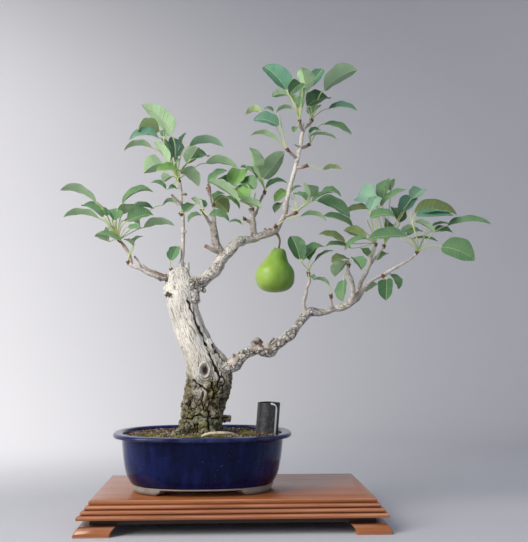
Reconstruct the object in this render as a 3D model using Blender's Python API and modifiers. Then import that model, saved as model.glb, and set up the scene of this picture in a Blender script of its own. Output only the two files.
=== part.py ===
"""A potted pear bonsai on its display stand. Metres, +Z up, the front faces -Y."""

import math

import bmesh
import bpy
from mathutils import Vector, noise

MM = 0.001
GAP = 0.3 * MM  # left between pieces that touch
FLAT_JOIN = math.radians(1.5)  # faces meeting at less than this are made one

# Display stand
STAND_LENGTH = 404 * MM
STAND_DEPTH = 216 * MM
STAND_HEIGHT = 46 * MM
STAND_SHIFT = Vector((47 * MM, 16 * MM, 0.0))  # the pot stands left of the stand's middle
PANEL_THICKNESS = 9 * MM
RAIL_HEIGHT = 15 * MM
RAIL_OVERHANG = 15 * MM
RAIL_WIDTH = 26 * MM  # inwards from the panel's edge
UNDER_FRAME_HEIGHT = 8 * MM
UNDER_FRAME_WIDTH = 22 * MM
FOOT_LEG = 47 * MM
FOOT_THICKNESS = 17 * MM
FOOT_FLARE = 8 * MM

# Pot
POT_LENGTH = 270 * MM
POT_DEPTH = 212 * MM
POT_HEIGHT = 85 * MM
LIP_WIDTH = 15 * MM
LIP_THICKNESS = 7 * MM
POT_FLOOR = 9 * MM
POT_FOOT_HEIGHT = 9 * MM
POT_FOOT_LENGTH = 34 * MM
POT_FOOT_WIDTH = 17 * MM
DRAIN_RADIUS = 8 * MM
DRAIN_SPACING = 92 * MM
SCREEN_SIDE = 26 * MM
SCREEN_THICKNESS = 1.2 * MM
OVAL = 2.5  # exponent of the pot's plan: 2 is an ellipse, more is boxier

# What stands in the pot
SOIL_BELOW_LIP = 5 * MM
SLEEVE_RADIUS = 16 * MM
SLEEVE_HEIGHT = 55 * MM
SLEEVE_SHEET = 1.2 * MM
SLEEVE_FREE_EDGE = 0.5  # where its outer edge ends, in radians right of the front
SLEEVE_CLEAR = 5 * MM  # between the sleeve and the pot's wall
PEAR_RADIUS = 30 * MM
PEAR_HEIGHT = 69 * MM

# Leaves
BLADE_THICKNESS = 0.9 * MM
PETIOLE_RADIUS = 0.75 * MM
BUD_RADIUS = 3.0 * MM
SHORT_PETIOLE = 16 * MM
BLADE_OUTLINE = ((0.28, 0.86), (0.55, 1.0), (0.82, 0.62))  # width at shares of the length
SMALL_BLADE_OUTLINE = ((0.35, 0.95), (0.70, 0.85))

SLEEVE_PLACE = Vector(
    (POT_LENGTH / 2 - LIP_WIDTH - SLEEVE_RADIUS - SLEEVE_CLEAR, 13 * MM, 0.0)
)
POT_BASE = STAND_HEIGHT + GAP
LIP_TOP = POT_BASE + POT_HEIGHT
SOIL_TOP = LIP_TOP - SOIL_BELOW_LIP
TREE_LIFT = POT_BASE + POT_HEIGHT - 131.3 * MM  # the tree's heights below are for the pot as made

# A bonsai is composed for one front. The tree's points are given in millimetres as they are seen
# from this place, in the upright plane through the trunk; a depth slides a point along the line of
# sight, so that the outline from the front holds while the branches spread forwards and back.
FRONT_VIEW = Vector((34.7, -1163.4, 251.0))


def seen(x, z, depth):
    """The place, in metres, of a point seen at (x, z) in the trunk's plane and lying at that depth."""
    there = Vector((x, 0.0, z))
    share = (depth - FRONT_VIEW.y) / -FRONT_VIEW.y
    place = FRONT_VIEW + (there - FRONT_VIEW) * share
    return place * MM + Vector((0.0, 0.0, TREE_LIFT))


for old in list(bpy.data.objects):
    bpy.data.objects.remove(old, do_unlink=True)

parts = bpy.data.collections.new("pear_bonsai")
cutters = bpy.data.collections.new("cutters")
bpy.context.scene.collection.children.link(parts)
bpy.context.scene.collection.children.link(cutters)
cutters.hide_render = True

root = bpy.data.objects.new("bonsai_base", None)
parts.objects.link(root)


# ---------------------------------------------------------------- materials


def material(name, colour, roughness, metallic=0.0):
    made = bpy.data.materials.new(name)
    made.use_nodes = True
    shader = made.node_tree.nodes["Principled BSDF"]
    shader.inputs["Base Color"].default_value = (*colour, 1.0)
    shader.inputs["Roughness"].default_value = roughness
    shader.inputs["Metallic"].default_value = metallic
    made.diffuse_color = (*colour, 1.0)
    return made


VARNISHED_WOOD = material("varnished_wood", (0.20, 0.055, 0.03), 0.3)
DARK_WOOD = material("dark_wood", (0.03, 0.015, 0.012), 0.5)
COBALT_GLAZE = material("cobalt_glaze", (0.01, 0.015, 0.09), 0.12)
BLACK_MESH = material("black_mesh", (0.02, 0.02, 0.02), 0.6)
POTTING_SOIL = material("potting_soil", (0.09, 0.055, 0.03), 0.95)
MOSS = material("moss", (0.13, 0.17, 0.03), 0.95)
PALE_ROOT = material("pale_root", (0.55, 0.47, 0.33), 0.8)
SLEEVE_SHEETING = material("sleeve_sheeting", (0.03, 0.03, 0.035), 0.5)
TRUNK_BARK = material("trunk_bark", (0.42, 0.37, 0.29), 0.85)
LIMB_BARK = material("limb_bark", (0.40, 0.34, 0.28), 0.8)
PEAR_SKIN = material("pear_skin", (0.28, 0.47, 0.05), 0.4)
STALK = material("stalk", (0.08, 0.05, 0.03), 0.7)
LEAF = material("pear_leaf", (0.07, 0.19, 0.06), 0.4)


# ---------------------------------------------------------------- modelling helpers


def keep(obj, finish, smooth=True):
    """Files a finished piece with the others, under the root, in its finish."""
    for holder in list(obj.users_collection):
        holder.objects.unlink(obj)
    parts.objects.link(obj)
    obj.hide_render = False
    obj.display_type = "TEXTURED"
    obj.parent = root
    obj.data.materials.clear()
    obj.data.materials.append(finish)
    if smooth:
        obj.data.shade_smooth()
        obj.data.set_sharp_from_angle(angle=math.radians(40))
    return obj


def helper(name, mesh):
    obj = bpy.data.objects.new(name, mesh)
    cutters.objects.link(obj)
    obj.hide_render = True
    obj.display_type = "WIRE"
    return obj


def from_bmesh(name, shape):
    mesh = bpy.data.meshes.new(name)
    bmesh.ops.recalc_face_normals(shape, faces=shape.faces)
    bmesh.ops.triangulate(shape, faces=shape.faces)
    shape.to_mesh(mesh)
    shape.free()
    return helper(name, mesh)


def settled(obj, join_flat=True):
    """Applies the object's modifiers, or makes its curve a mesh, and welds the caps."""
    graph = bpy.context.evaluated_depsgraph_get()
    mesh = bpy.data.meshes.new_from_object(obj.evaluated_get(graph))
    shape = bmesh.new()
    shape.from_mesh(mesh)
    bmesh.ops.remove_doubles(shape, verts=shape.verts, dist=0.001 * MM)
    if join_flat:
        bmesh.ops.dissolve_limit(
            shape, angle_limit=FLAT_JOIN, verts=shape.verts, edges=shape.edges
        )
    bmesh.ops.triangulate(shape, faces=shape.faces)
    shape.to_mesh(mesh)
    shape.free()
    solid = helper(obj.name, mesh)
    solid.matrix_world = obj.matrix_world
    name = obj.name
    bpy.data.objects.remove(obj, do_unlink=True)
    solid.name = name
    return solid


def combine(obj, others, operation, solver="EXACT"):
    """One Boolean with a few helpers, applied; the helpers are used up."""
    group = bpy.data.collections.new(obj.name + "_" + operation.lower())
    cutters.children.link(group)
    for other in others:
        group.objects.link(other)
    step = obj.modifiers.new(operation.lower(), "BOOLEAN")
    step.operation = operation
    step.solver = solver
    step.use_self = solver == "EXACT"
    step.operand_type = "COLLECTION"
    step.collection = group
    solid = settled(obj, solver == "EXACT")
    for other in others:
        bpy.data.objects.remove(other, do_unlink=True)
    bpy.data.collections.remove(group)
    return solid


def clearance(obj):
    """A copy of the piece, larger by the gap all round, that cuts its seat in a neighbour."""
    mesh = obj.data.copy()
    shape = bmesh.new()
    shape.from_mesh(mesh)
    shape.normal_update()
    offsets = [vert.normal * GAP * min(2.0, vert.calc_shell_factor()) for vert in shape.verts]
    for vert, offset in zip(shape.verts, offsets):
        vert.co += offset
    shape.to_mesh(mesh)
    shape.free()
    return helper(obj.name + "_clearance", mesh)


def seated(obj, *neighbours, solver="EXACT"):
    """The piece with the gap cut all round each neighbour that it meets."""
    return combine(obj, [clearance(other) for other in neighbours], "DIFFERENCE", solver)


def box(name, low, high):
    shape = bmesh.new()
    bmesh.ops.create_cube(shape, size=1.0)
    size = Vector(high) - Vector(low)
    bmesh.ops.scale(shape, vec=size, verts=shape.verts)
    bmesh.ops.translate(shape, vec=(Vector(high) + Vector(low)) / 2, verts=shape.verts)
    return from_bmesh(name, shape)


def loft(name, rings, tip=None):
    """A closed skin through rings of equally many points, ending in a cap or at a tip."""
    shape = bmesh.new()
    rows = [[shape.verts.new(point) for point in ring] for ring in rings]
    count = len(rows[0])
    for low, high in zip(rows, rows[1:]):
        for i in range(count):
            j = (i + 1) % count
            shape.faces.new((low[i], low[j], high[j], high[i]))
    shape.faces.new(rows[0])
    if tip is None:
        shape.faces.new(rows[-1])
    else:
        point = shape.verts.new(tip)
        for i in range(count):
            shape.faces.new((rows[-1][i], rows[-1][(i + 1) % count], point))
    return from_bmesh(name, shape)


def smoothed(points, steps=2):
    """Points along a Catmull-Rom curve through the given ones, of any dimension."""
    ends = [points[0]] + list(points) + [points[-1]]
    curve = []
    for a, b, c, d in zip(ends, ends[1:], ends[2:], ends[3:]):
        for step in range(steps):
            t = step / steps
            curve.append(
                tuple(
                    0.5 * (2 * q + (r - p) * t + (2 * p - 5 * q + 4 * r - s) * t**2
                           + (3 * q - p - 3 * r + s) * t**3)
                    for p, q, r, s in zip(a, b, c, d)
                )
            )
    curve.append(tuple(points[-1]))
    return curve


def stem(name, path, steps=2):
    """A tapering round stem through (x, z, depth, radius) points."""
    curve = bpy.data.curves.new(name, "CURVE")
    curve.dimensions = "3D"
    curve.bevel_depth = 1.0
    curve.bevel_resolution = 2
    curve.use_fill_caps = True
    route = smoothed(path, steps)
    line = curve.splines.new("POLY")
    line.points.add(len(route) - 1)
    for point, (x, z, depth, radius) in zip(line.points, route):
        point.co = (*seen(x, z, depth), 1.0)
        point.radius = radius * MM
    obj = bpy.data.objects.new(name, curve)
    cutters.objects.link(obj)
    return settled(obj)


def oval_ring(half_length, half_depth, z, count=32, exponent=OVAL):
    ring = []
    for i in range(count):
        angle = 2 * math.pi * i / count
        c, s = math.cos(angle), math.sin(angle)
        x = half_length * math.copysign(abs(c) ** (2 / exponent), c)
        y = half_depth * math.copysign(abs(s) ** (2 / exponent), s)
        ring.append((x, y, z))
    return ring


# ---------------------------------------------------------------- display stand


def make_panel():
    half = Vector((STAND_LENGTH / 2, STAND_DEPTH / 2, 0.0))
    low = STAND_SHIFT - half + Vector((0, 0, STAND_HEIGHT - PANEL_THICKNESS))
    high = STAND_SHIFT + half + Vector((0, 0, STAND_HEIGHT))
    panel = box("stand_panel", low, high)
    edge = panel.modifiers.new("eased_edge", "BEVEL")
    edge.width = 1.2 * MM
    edge.segments = 2
    return keep(panel, VARNISHED_WOOD)


def rail_outline():
    """The stepped moulding, as (outwards from the panel's edge, height) points."""
    top = STAND_HEIGHT - PANEL_THICKNESS - GAP
    bottom = top - RAIL_HEIGHT
    step = RAIL_OVERHANG / 3
    drop = RAIL_HEIGHT / 3
    outline = [(-RAIL_WIDTH, bottom), (-RAIL_WIDTH, top), (0.0, top)]
    for i in range(3):
        out = step * i
        level = top - drop * i
        outline.append((out + step * 0.9, level - drop * 0.42))
        outline.append((out + step * 0.9, level - drop * 0.85))
        outline.append((out + step * 0.7, level - drop))
    outline[-1] = (RAIL_OVERHANG * 0.97, bottom)
    return outline


def make_rail(name, side):
    """side is the outward direction; the ends are mitred where two rails meet."""
    outward = Vector(side)
    along = Vector((-outward.y, outward.x, 0.0))
    reach = abs(outward.x) * STAND_LENGTH / 2 + abs(outward.y) * STAND_DEPTH / 2
    half = abs(along.x) * STAND_LENGTH / 2 + abs(along.y) * STAND_DEPTH / 2
    rings = []
    for end in (-1, 1):
        ring = []
        for out, z in rail_outline():
            corner = half + out - GAP
            place = STAND_SHIFT + outward * (reach + out) + along * end * corner
            ring.append((place.x, place.y, z))
        rings.append(ring)
    return keep(loft(name, rings), VARNISHED_WOOD)


def make_under_frame():
    top = STAND_HEIGHT - PANEL_THICKNESS - RAIL_HEIGHT - 2 * GAP
    half = Vector((STAND_LENGTH / 2, STAND_DEPTH / 2, 0.0))
    inset = Vector((2 * MM, 2 * MM, 0.0))
    wide = Vector((UNDER_FRAME_WIDTH, UNDER_FRAME_WIDTH, 0.0))
    low = STAND_SHIFT - half + inset + Vector((0, 0, top - UNDER_FRAME_HEIGHT))
    high = STAND_SHIFT + half - inset + Vector((0, 0, top))
    frame = box("under_frame", low, high)
    lift = Vector((0.0, 0.0, MM))
    hollow = box("under_frame_hollow", low + wide - lift, high - wide + lift)
    return keep(combine(frame, [hollow], "DIFFERENCE"), DARK_WOOD)


def make_foot(name, right, back):
    """An L of two flared legs that meet at the stand's corner."""
    top = STAND_HEIGHT - PANEL_THICKNESS - RAIL_HEIGHT - UNDER_FRAME_HEIGHT - 3 * GAP
    rings = []
    for share, flare, leg in ((0.0, 1.0, 0.80), (0.25, 0.85, 0.84), (0.6, 0.3, 0.93), (1.0, 0.0, 1.0)):
        out = 9 * MM + FOOT_FLARE * flare
        x = STAND_LENGTH / 2 + out
        y = STAND_DEPTH / 2 + out
        reach = FOOT_LEG * leg
        plan = (
            (x, y),
            (x - reach, y),
            (x - reach, y - FOOT_THICKNESS),
            (x - FOOT_THICKNESS, y - FOOT_THICKNESS),
            (x - FOOT_THICKNESS, y - reach),
            (x, y - reach),
        )
        rings.append(
            [(STAND_SHIFT.x + right * a, STAND_SHIFT.y + back * b, top * share) for a, b in plan]
        )
    return keep(loft(name, rings), VARNISHED_WOOD)


make_panel()
make_rail("front_rail", (0, -1, 0))
make_rail("back_rail", (0, 1, 0))
make_rail("left_rail", (-1, 0, 0))
make_rail("right_rail", (1, 0, 0))
make_under_frame()
for corner, right, back in (
    ("front_left", -1, -1),
    ("front_right", 1, -1),
    ("back_left", -1, 1),
    ("back_right", 1, 1),
):
    make_foot(corner + "_foot", right, back)


# ---------------------------------------------------------------- pot and what fills it

LIP_REACH = 5.5 * MM  # how far the lip stands out past the body
BODY_UNDER_LIP = POT_LENGTH / 2 - LIP_REACH - 7.5 * MM
DEPTH_LESS = (POT_LENGTH - POT_DEPTH) / 2


def pot_outside():
    """(half-length, height above the pot's base) up the outside, as shares of the body."""
    top = POT_HEIGHT - LIP_THICKNESS
    base = POT_FOOT_HEIGHT * 0.9
    body = top - base
    shares = ((0.72, 0.0), (0.835, 0.005), (0.86, 0.04), (0.87, 0.10), (0.865, 0.14), (0.895, 0.24),
              (0.93, 0.38), (0.96, 0.58), (0.985, 0.80), (1.0, 1.0))
    rings = [(BODY_UNDER_LIP * wide, base + body * high) for wide, high in shares]
    reach = POT_LENGTH / 2
    rings.append((reach - 1.5 * MM, top + 0.3 * MM))
    rings.append((reach, top + 1.8 * MM))
    rings.append((reach, POT_HEIGHT - 1.5 * MM))
    rings.append((reach - 1.5 * MM, POT_HEIGHT))
    return rings


def pot_inside():
    """The same down the inside, from the lip's inner edge to the floor."""
    base = POT_FOOT_HEIGHT * 0.9 + POT_FLOOR
    inner = POT_LENGTH / 2 - LIP_WIDTH
    shares = ((0.0, 1.0), (0.5 * MM, 0.94), (3.0 * MM, 0.6), (9.0 * MM, 0.22), (17.0 * MM, 0.0))
    return [(inner - less, base + (POT_HEIGHT - base) * high) for less, high in shares]


def oval_rings(profile):
    return [oval_ring(wide, wide - DEPTH_LESS, POT_BASE + high) for wide, high in profile]


def make_pot():
    pot = loft("pot", oval_rings(pot_outside() + pot_inside()))
    feet = []
    for right in (-1, 1):
        for back in (-1, 1):
            shape = bmesh.new()
            bmesh.ops.create_cone(
                shape, cap_ends=True, segments=16, radius1=0.46, radius2=0.52, depth=1.0
            )
            size = (POT_FOOT_LENGTH, POT_FOOT_WIDTH, POT_FOOT_HEIGHT * 1.5)
            bmesh.ops.scale(shape, vec=size, verts=shape.verts)
            foot = from_bmesh("pot_foot", shape)
            foot.rotation_euler.z = -right * back * math.radians(32)
            foot.location = (
                right * (BODY_UNDER_LIP * 0.82 - POT_FOOT_LENGTH / 2),
                back * (BODY_UNDER_LIP * 0.82 - DEPTH_LESS - POT_FOOT_WIDTH),
                POT_BASE + POT_FOOT_HEIGHT * 0.75,
            )
            feet.append(foot)
    bpy.context.view_layer.update()
    pot = combine(pot, feet, "UNION")
    drains = []
    for right in (-1, 1):
        shape = bmesh.new()
        bmesh.ops.create_cone(
            shape, cap_ends=True, segments=16, radius1=DRAIN_RADIUS, radius2=DRAIN_RADIUS,
            depth=POT_FLOOR * 4,
        )
        drain = from_bmesh("drain_hole", shape)
        drain.location = (right * DRAIN_SPACING / 2, 0.0, POT_BASE + POT_FLOOR)
        drains.append(drain)
    bpy.context.view_layer.update()
    return keep(combine(pot, drains, "DIFFERENCE"), COBALT_GLAZE)


FLOOR_TOP = POT_BASE + POT_FOOT_HEIGHT * 0.9 + POT_FLOOR


def make_screen(name, right):
    """A square of plastic mesh laid over a drain hole."""
    x = right * DRAIN_SPACING / 2
    half = SCREEN_SIDE / 2
    low = FLOOR_TOP + GAP
    screen = box(name, (x - half, -half, low), (x + half, half, low + SCREEN_THICKNESS))
    pitch = SCREEN_SIDE / 4
    hole = pitch * 0.3
    holes = []
    for column in range(3):
        for row in range(3):
            a = x + (column - 1) * pitch
            b = (row - 1) * pitch
            holes.append(
                box("hole", (a - hole, b - hole, low - MM), (a + hole, b + hole, low + 3 * MM))
            )
    return keep(combine(screen, holes, "DIFFERENCE"), BLACK_MESH, smooth=False)


def make_soil(pot, sunk, screens):
    """Fills the pot, mounds up to the trunk and is socketed for what stands in it."""
    rings = []
    for wide, high in reversed(pot_inside()[1:]):
        rings.append((wide - GAP - 0.25 * MM, max(high, FLOOR_TOP - POT_BASE + GAP)))
    edge = rings[-1][0]
    height = SOIL_TOP - POT_BASE
    rings[-1] = (edge, height)
    skin = oval_rings(rings)
    for share, lift in ((0.8, 1.0), (0.55, 2.0), (0.3, 4.0), (0.12, 5.5)):
        ring = []
        for x, y, z in oval_ring(edge * share, (edge - DEPTH_LESS) * share, SOIL_TOP):
            bump = noise.noise(Vector((x, y, 0.0)) * 45) * 2.0
            ring.append((x, y, z + (lift + bump) * MM))
        skin.append(ring)
    soil = loft("soil", skin)
    pockets = []
    for screen in screens:
        corners = [screen.matrix_world @ Vector(corner) for corner in screen.bound_box]
        low = Vector(map(min, zip(*corners))) - Vector((GAP, GAP, 2 * MM))
        high = Vector(map(max, zip(*corners))) + Vector((GAP, GAP, GAP))
        pockets.append(box("screen_pocket", low, high))
    soil = combine(soil, pockets + [clearance(piece) for piece in sunk], "DIFFERENCE")
    return keep(soil, POTTING_SOIL)


def make_sleeve():
    """A sheet rolled a little over one full turn, standing upright in the soil."""
    turns = 1.12
    count = 40
    outer, inner = [], []
    for i in range(count + 1):
        share = i / count
        angle = SLEEVE_FREE_EDGE - 2 * math.pi * turns * share
        radius = SLEEVE_RADIUS - 2.0 * MM * share
        place = Vector((math.sin(angle), -math.cos(angle), 0.0))
        outer.append(place * radius)
        inner.append(place * (radius - SLEEVE_SHEET))
    outline = outer + inner[::-1]
    lean = Vector((0.035, 0.0, 0.0))
    bottom = SOIL_TOP - 8 * MM
    rings = []
    for height in (0.0, SLEEVE_HEIGHT):
        base = SLEEVE_PLACE + lean * height + Vector((0.0, 0.0, bottom + height))
        rings.append([base + point for point in outline])
    return loft("rolled_sleeve", rings)


# ---------------------------------------------------------------- trunk

# (height, left side, right side, half-depth, depth of the middle) of the trunk, from the root crown up
TRUNK = (
    (114, -33, 27, 25, 2),
    (128, -36, 27, 26, 1),
    (138, -35, 28, 25, 0),
    (150, -34, 29, 23, 0),
    (162, -33, 31, 22, 0),
    (176, -31, 35, 22, 0),
    (190, -28, 39, 23, 0),
    (205, -26, 42, 23, 0),
    (218, -26, 43, 22, 0),
    (230, -26.5, 41, 21, 1),
    (241, -28, 35, 20, 1),
    (252, -33, 25, 19, 2),
    (264, -38, 15, 18, 2),
    (280, -43, 6, 17, 2),
    (300, -50, -3, 16, 2),
    (318, -55, -9, 16, 1),
    (334, -58, -11, 16, 0),
    (347, -63, -8, 16, 0),
    (358, -60, -6, 15, 0),
    (368, -59, -12, 13, 0),
    (377, -51, -21, 11, 1),
    (386, -42, -27, 7, 2),
)
TRUNK_TIP = (-34, 396, 3)

# Stems that spread from the trunk's foot: (x, z, depth, radius) from inside the trunk outwards
SURFACE_ROOTS = (
    ((12, 146, -4, 7), (26, 149, -8, 5.5), (41, 149, -9, 4.5)),
    ((-12, 138, -12, 9), (-30, 130, -26, 7), (-45, 122, -34, 5), (-56, 116, -40, 3)),
    ((4, 136, -16, 9), (10, 131, -30, 7), (18, 124, -42, 5), (24, 116, -50, 3)),
    ((18, 134, 4, 9), (34, 128, 12, 6), (48, 121, 18, 4), (58, 115, 22, 3)),
    ((-16, 134, 10, 9), (-34, 130, 24, 7), (-48, 122, 34, 4), (-56, 115, 40, 3)),
    ((-4, 158, -17, 6), (2, 150, -24, 7), (4, 140, -26, 7), (-2, 130, -26, 6)),
    ((10, 182, -16, 6), (16, 168, -21, 6.5), (19, 155, -21, 6.5), (21, 142, -19, 6)),
)
CRACK = ((-26, 333), (-20, 315), (-12, 297), (-4, 279), (4, 258), (11, 240), (20, 226), (27, 212))
CRACK_WIDTH = 3.4
KNOT_HOLE = (2, 223, 7, 10)  # x, z, half-width, half-height


def trunk_ring(z, left, right, half_depth, middle, count=16):
    ring = []
    for i in range(count):
        angle = 2 * math.pi * i / count
        c, s = math.cos(angle), math.sin(angle)
        lump = 1 + 0.09 * noise.noise(Vector((2.2 * c, 2.2 * s, z * 0.025)))
        # the outline seen from the front stays as given, and the lumps come on the faces
        reach = 1 + (lump - 1) * abs(s)
        x = (left + right) / 2 + (right - left) / 2 * c * reach
        depth = middle + half_depth * s * lump
        ring.append(seen(x, z, depth))
    return ring


def trunk_face(x, z):
    """How far forward the trunk's front face lies at (x, z), as a depth."""
    for low, high in zip(TRUNK, TRUNK[1:]):
        if low[0] <= z <= high[0]:
            share = (z - low[0]) / (high[0] - low[0])
            left, right, half, middle = (a + (b - a) * share for a, b in zip(low[1:], high[1:]))
            across = (x - (left + right) / 2) / ((right - left) / 2)
            return middle - half * math.sqrt(max(0.05, 1 - across**2))
    return 0.0


def make_trunk():
    trunk = loft("trunk", [trunk_ring(*row) for row in TRUNK], seen(*TRUNK_TIP))
    roots = [stem("root", path, 1) for path in SURFACE_ROOTS]
    stub = stem("jin", ((-29, 366, 1, 3), (-27, 378, 0, 2.4), (-26.5, 389, 0, 1.4)), 1)
    knob = stem("knob", ((-50, 342, -4, 6), (-58, 347, -5, 6), (-64, 349, -5, 4)), 1)
    for limb in roots + [stub, knob]:
        trunk = combine(trunk, [limb], "UNION")
    groove = stem("crack", [(x, z, trunk_face(x, z), CRACK_WIDTH / 2) for x, z in CRACK], 1)
    x, z, wide, high = KNOT_HOLE
    shape = bmesh.new()
    bmesh.ops.create_uvsphere(shape, u_segments=10, v_segments=6, radius=1.0)
    bmesh.ops.scale(shape, vec=(wide * MM, 5 * MM, high * MM), verts=shape.verts)
    bmesh.ops.translate(shape, vec=seen(x, z, trunk_face(x, z)), verts=shape.verts)
    knot = from_bmesh("knot", shape)
    return combine(trunk, [groove, knot], "DIFFERENCE")


# ---------------------------------------------------------------- branches

# Each branch: what it grows from, its main stem and the spurs, stubs and buds along it, all as
# (x, z, depth, radius) points. A radius is in millimetres too.
BRANCHES = {
    "left_branch": (
        "trunk",
        ((-44, 362, 0, 8), (-56, 366, -2, 6), (-66, 367, -4, 5), (-77, 370, -7, 4.2),
         (-89, 374, -9, 3.7), (-100, 381, -10, 3.4), (-110, 384, -10, 3.2), (-117, 387, -10, 3)),
        ((-113, 386, -10, 2.4), (-116, 396, -9, 2.7), (-118, 404, -8, 2.6), (-125, 415, -6, 2.4),
         (-132, 423, -4, 2)),
        ((-98, 381, -10, 1.6), (-101, 388, -11, 1.4), (-105, 394, -11, 1.5), (-110, 400, -12, 1.8)),
        ((-97, 387, -12, 1.1), (-89, 380, -12, 1.8), (-77, 375, -9, 2), (-64, 370, -5, 2)),
    ),
    "left_shoot": (
        "trunk",
        ((-34, 376, 3, 4), (-35, 386, 3, 3.4), (-35, 395, 3, 3), (-34, 405, 3, 2.9),
         (-34, 426, 5, 2.8), (-34, 450, 6, 2.5), (-35, 469, 7, 2.3), (-37, 485, 7, 2.2),
         (-38, 498, 7, 2.2), (-39, 510, 6, 2.2), (-41, 520, 6, 2.1)),
        ((-37.5, 498, 7, 1.6), (-33, 499, 5, 2.1), (-29, 498, 4, 1.8)),
        ((-36.5, 481, 7, 1.6), (-43, 488, 5, 2), (-48, 493, 4, 1.9), (-53, 498, 3, 1.5)),
        ((-34, 436, 5, 1.4), (-29, 440, 3, 1.6)),
    ),
    "upper_limb": (
        "trunk",
        ((-32, 350, 0, 11), (-20, 354, -2, 11), (-8, 360, -4, 10.5), (5, 369, -6, 9.5),
         (16, 379, -8, 9), (27, 394, -10, 8.5), (36, 406, -10, 8), (45, 416, -9, 8.5),
         (55, 424, -6, 7.5), (65, 427, -2, 6.5), (76, 429, 2, 6.2), (88, 433, 5, 5.8),
         (100, 437, 7, 6), (110, 441, 8, 5.6), (117, 450, 8, 4.5), (121, 458, 7, 4),
         (126, 468, 5, 4), (127, 478, 3, 4.8), (130, 492, 0, 3.5), (133, 505, -2, 3.3),
         (137, 520, -3, 3.2), (141, 535, -2, 3.3), (145, 550, 0, 3.2), (148.5, 567, 2, 3.3),
         (152, 580, 4, 3), (154, 595, 4, 2.9), (156.5, 607, 3, 3.2), (160, 618, 2, 2.6)),
        ((145.5, 559, 1, 2), (139, 565, -4, 2.3), (132, 572, -8, 1.8)),
        ((150, 577, 4, 2), (158, 578, 9, 2.7), (164, 581, 13, 2.2)),
        ((144, 543, 0, 2), (152, 545, -4, 2.6), (160, 547, -8, 2.4)),
        ((156, 604, 3, 2.2), (152, 612, -1, 3), (151, 619, -3, 2.4)),
        ((158, 610, 3, 2), (166, 616, 9, 2.6), (170, 621, 12, 2.2)),
        ((152, 577, 4, 1.2), (142, 582, 0, 1)),
        ((126, 464, 5, 2), (135, 468, -1, 2.6), (143, 470, -6, 2.2)),
        ((95, 436, 6, 2.2), (95, 446, 3, 2)),
        ((101, 438, 7, 1.8), (102, 445, 4, 1.6)),
        ((108, 440, 6, 2.2), (111, 448, -2, 1.9)),
    ),
    "mid_left_twig": (
        "upper_limb",
        ((30, 401, -10, 5), (22, 413, -12, 6), (17, 424, -13, 6.2), (15, 436, -14, 5.6),
         (13, 447, -14, 5), (14, 456, -14, 3.4), (14, 464, -14, 2.9), (13.5, 473, -15, 2.5),
         (13, 481, -15, 2.2)),
        ((13, 446, -14, 4), (8, 452, -16, 3), (4, 459, -18, 2.4), (0, 466, -20, 2.2),
         (-4, 472, -21, 1.9)),
        ((22, 408, -12, 4), (12, 411, -16, 3.2), (6, 414.5, -17, 2.9), (0, 417, -18, 2.8)),
        ((13, 478, -15, 1.4), (9, 492, -19, 1.3), (7, 502, -20, 2.6), (5, 510, -20, 3.6)),
    ),
    "middle_twig": (
        "upper_limb",
        ((78, 428, 3, 5), (76.5, 440, 2, 5), (76, 450, 0, 4.8), (75, 462, -2, 4.3),
         (75.5, 473, -3, 3.6)),
        ((75, 467, -2, 2.6), (70, 477, -5, 2.2)),
        ((76, 464, -2, 2.6), (82, 471, 0, 2.2)),
        ((75, 453, -1, 2.2), (68, 457, -4, 2.4), (63, 460, -6, 2)),
    ),
    "leaning_twig": (
        "middle_twig",
        ((78, 464, 1, 2), (83, 476, 6, 1.9), (87, 489, 8, 2), (94, 502, 8, 2.3)),
    ),
    "lower_limb": (
        "trunk",
        ((26, 222, -2, 12), (34, 226, -5, 11.5), (44, 231, -8, 11), (53, 239, -11, 9.5),
         (64, 248, -14, 7.6), (75, 253.5, -17, 7.5), (84, 255, -19, 7.5), (94, 251, -20, 8.5),
         (103, 253, -20, 9.3), (114, 262.5, -18, 6.8), (125, 269.5, -15, 6.8), (134, 279, -12, 8),
         (143, 290, -9, 6), (150, 298, -6, 6.5), (158, 307, -3, 7.5), (167, 313, 0, 7),
         (180, 312.5, 4, 5.5), (191, 314, 6, 5), (202, 318, 8, 5), (213, 320, 8, 5.7),
         (224, 325, 6, 6), (233, 331, 4, 6), (241, 338, 2, 6), (247, 346, 2, 4.5)),
        ((80, 258, -20, 4), (77, 266, -23, 4), (83, 270, -24, 3.6), (90, 264, -22, 3)),
        ((96, 256, -20, 2.4), (103, 266, -23, 1.8), (109, 272, -24, 1.4)),
        ((200, 317, 7, 1.8), (199.5, 328, 5, 1.4), (199, 337, 4, 1.6)),
        ((46, 240, -14, 2.4), (46, 248, -18, 2)),
    ),
    "low_twig": (
        "lower_limb",
        ((159, 306, -3, 4), (157, 319, -5, 3.2), (156, 328, -6, 2.9), (159, 340, -7, 2.6),
         (161, 352, -7, 2.4), (165.5, 362, -8, 2.2), (163.5, 372, -9, 1.9)),
    ),
    "fork_front": (
        "lower_limb",
        ((231, 330, 2, 4.2), (234, 340, -3, 3.7), (234, 352, -7, 3.3), (230.5, 367, -11, 3.1),
         (226, 377, -14, 3), (227, 385, -16, 2.6)),
    ),
    "fork_right": (
        "lower_limb",
        ((245, 342, 1, 3.4), (253, 354, -3, 3), (262, 363, -7, 2.7), (277, 370, -11, 2.6),
         (297, 381, -14, 2.4), (314, 391, -17, 2.3), (327, 399, -19, 2.2), (336, 407, -20, 2)),
    ),
    "fork_middle": (
        "lower_limb",
        ((241, 339, 4, 4), (244, 353, 8, 3.6), (249, 366, 11, 3.3), (255, 376, 13, 3.1),
         (260.5, 388, 15, 3), (263.5, 400, 16, 2.6), (268, 411, 16, 2.2), (271, 420, 15, 1.9)),
    ),
    "fork_back": (
        "fork_middle",
        ((257, 380, 15, 2.4), (263, 390, 20, 2.4), (269, 398, 24, 2.2), (276, 408, 29, 2),
         (284, 417, 34, 1.8)),
    ),
}


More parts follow.
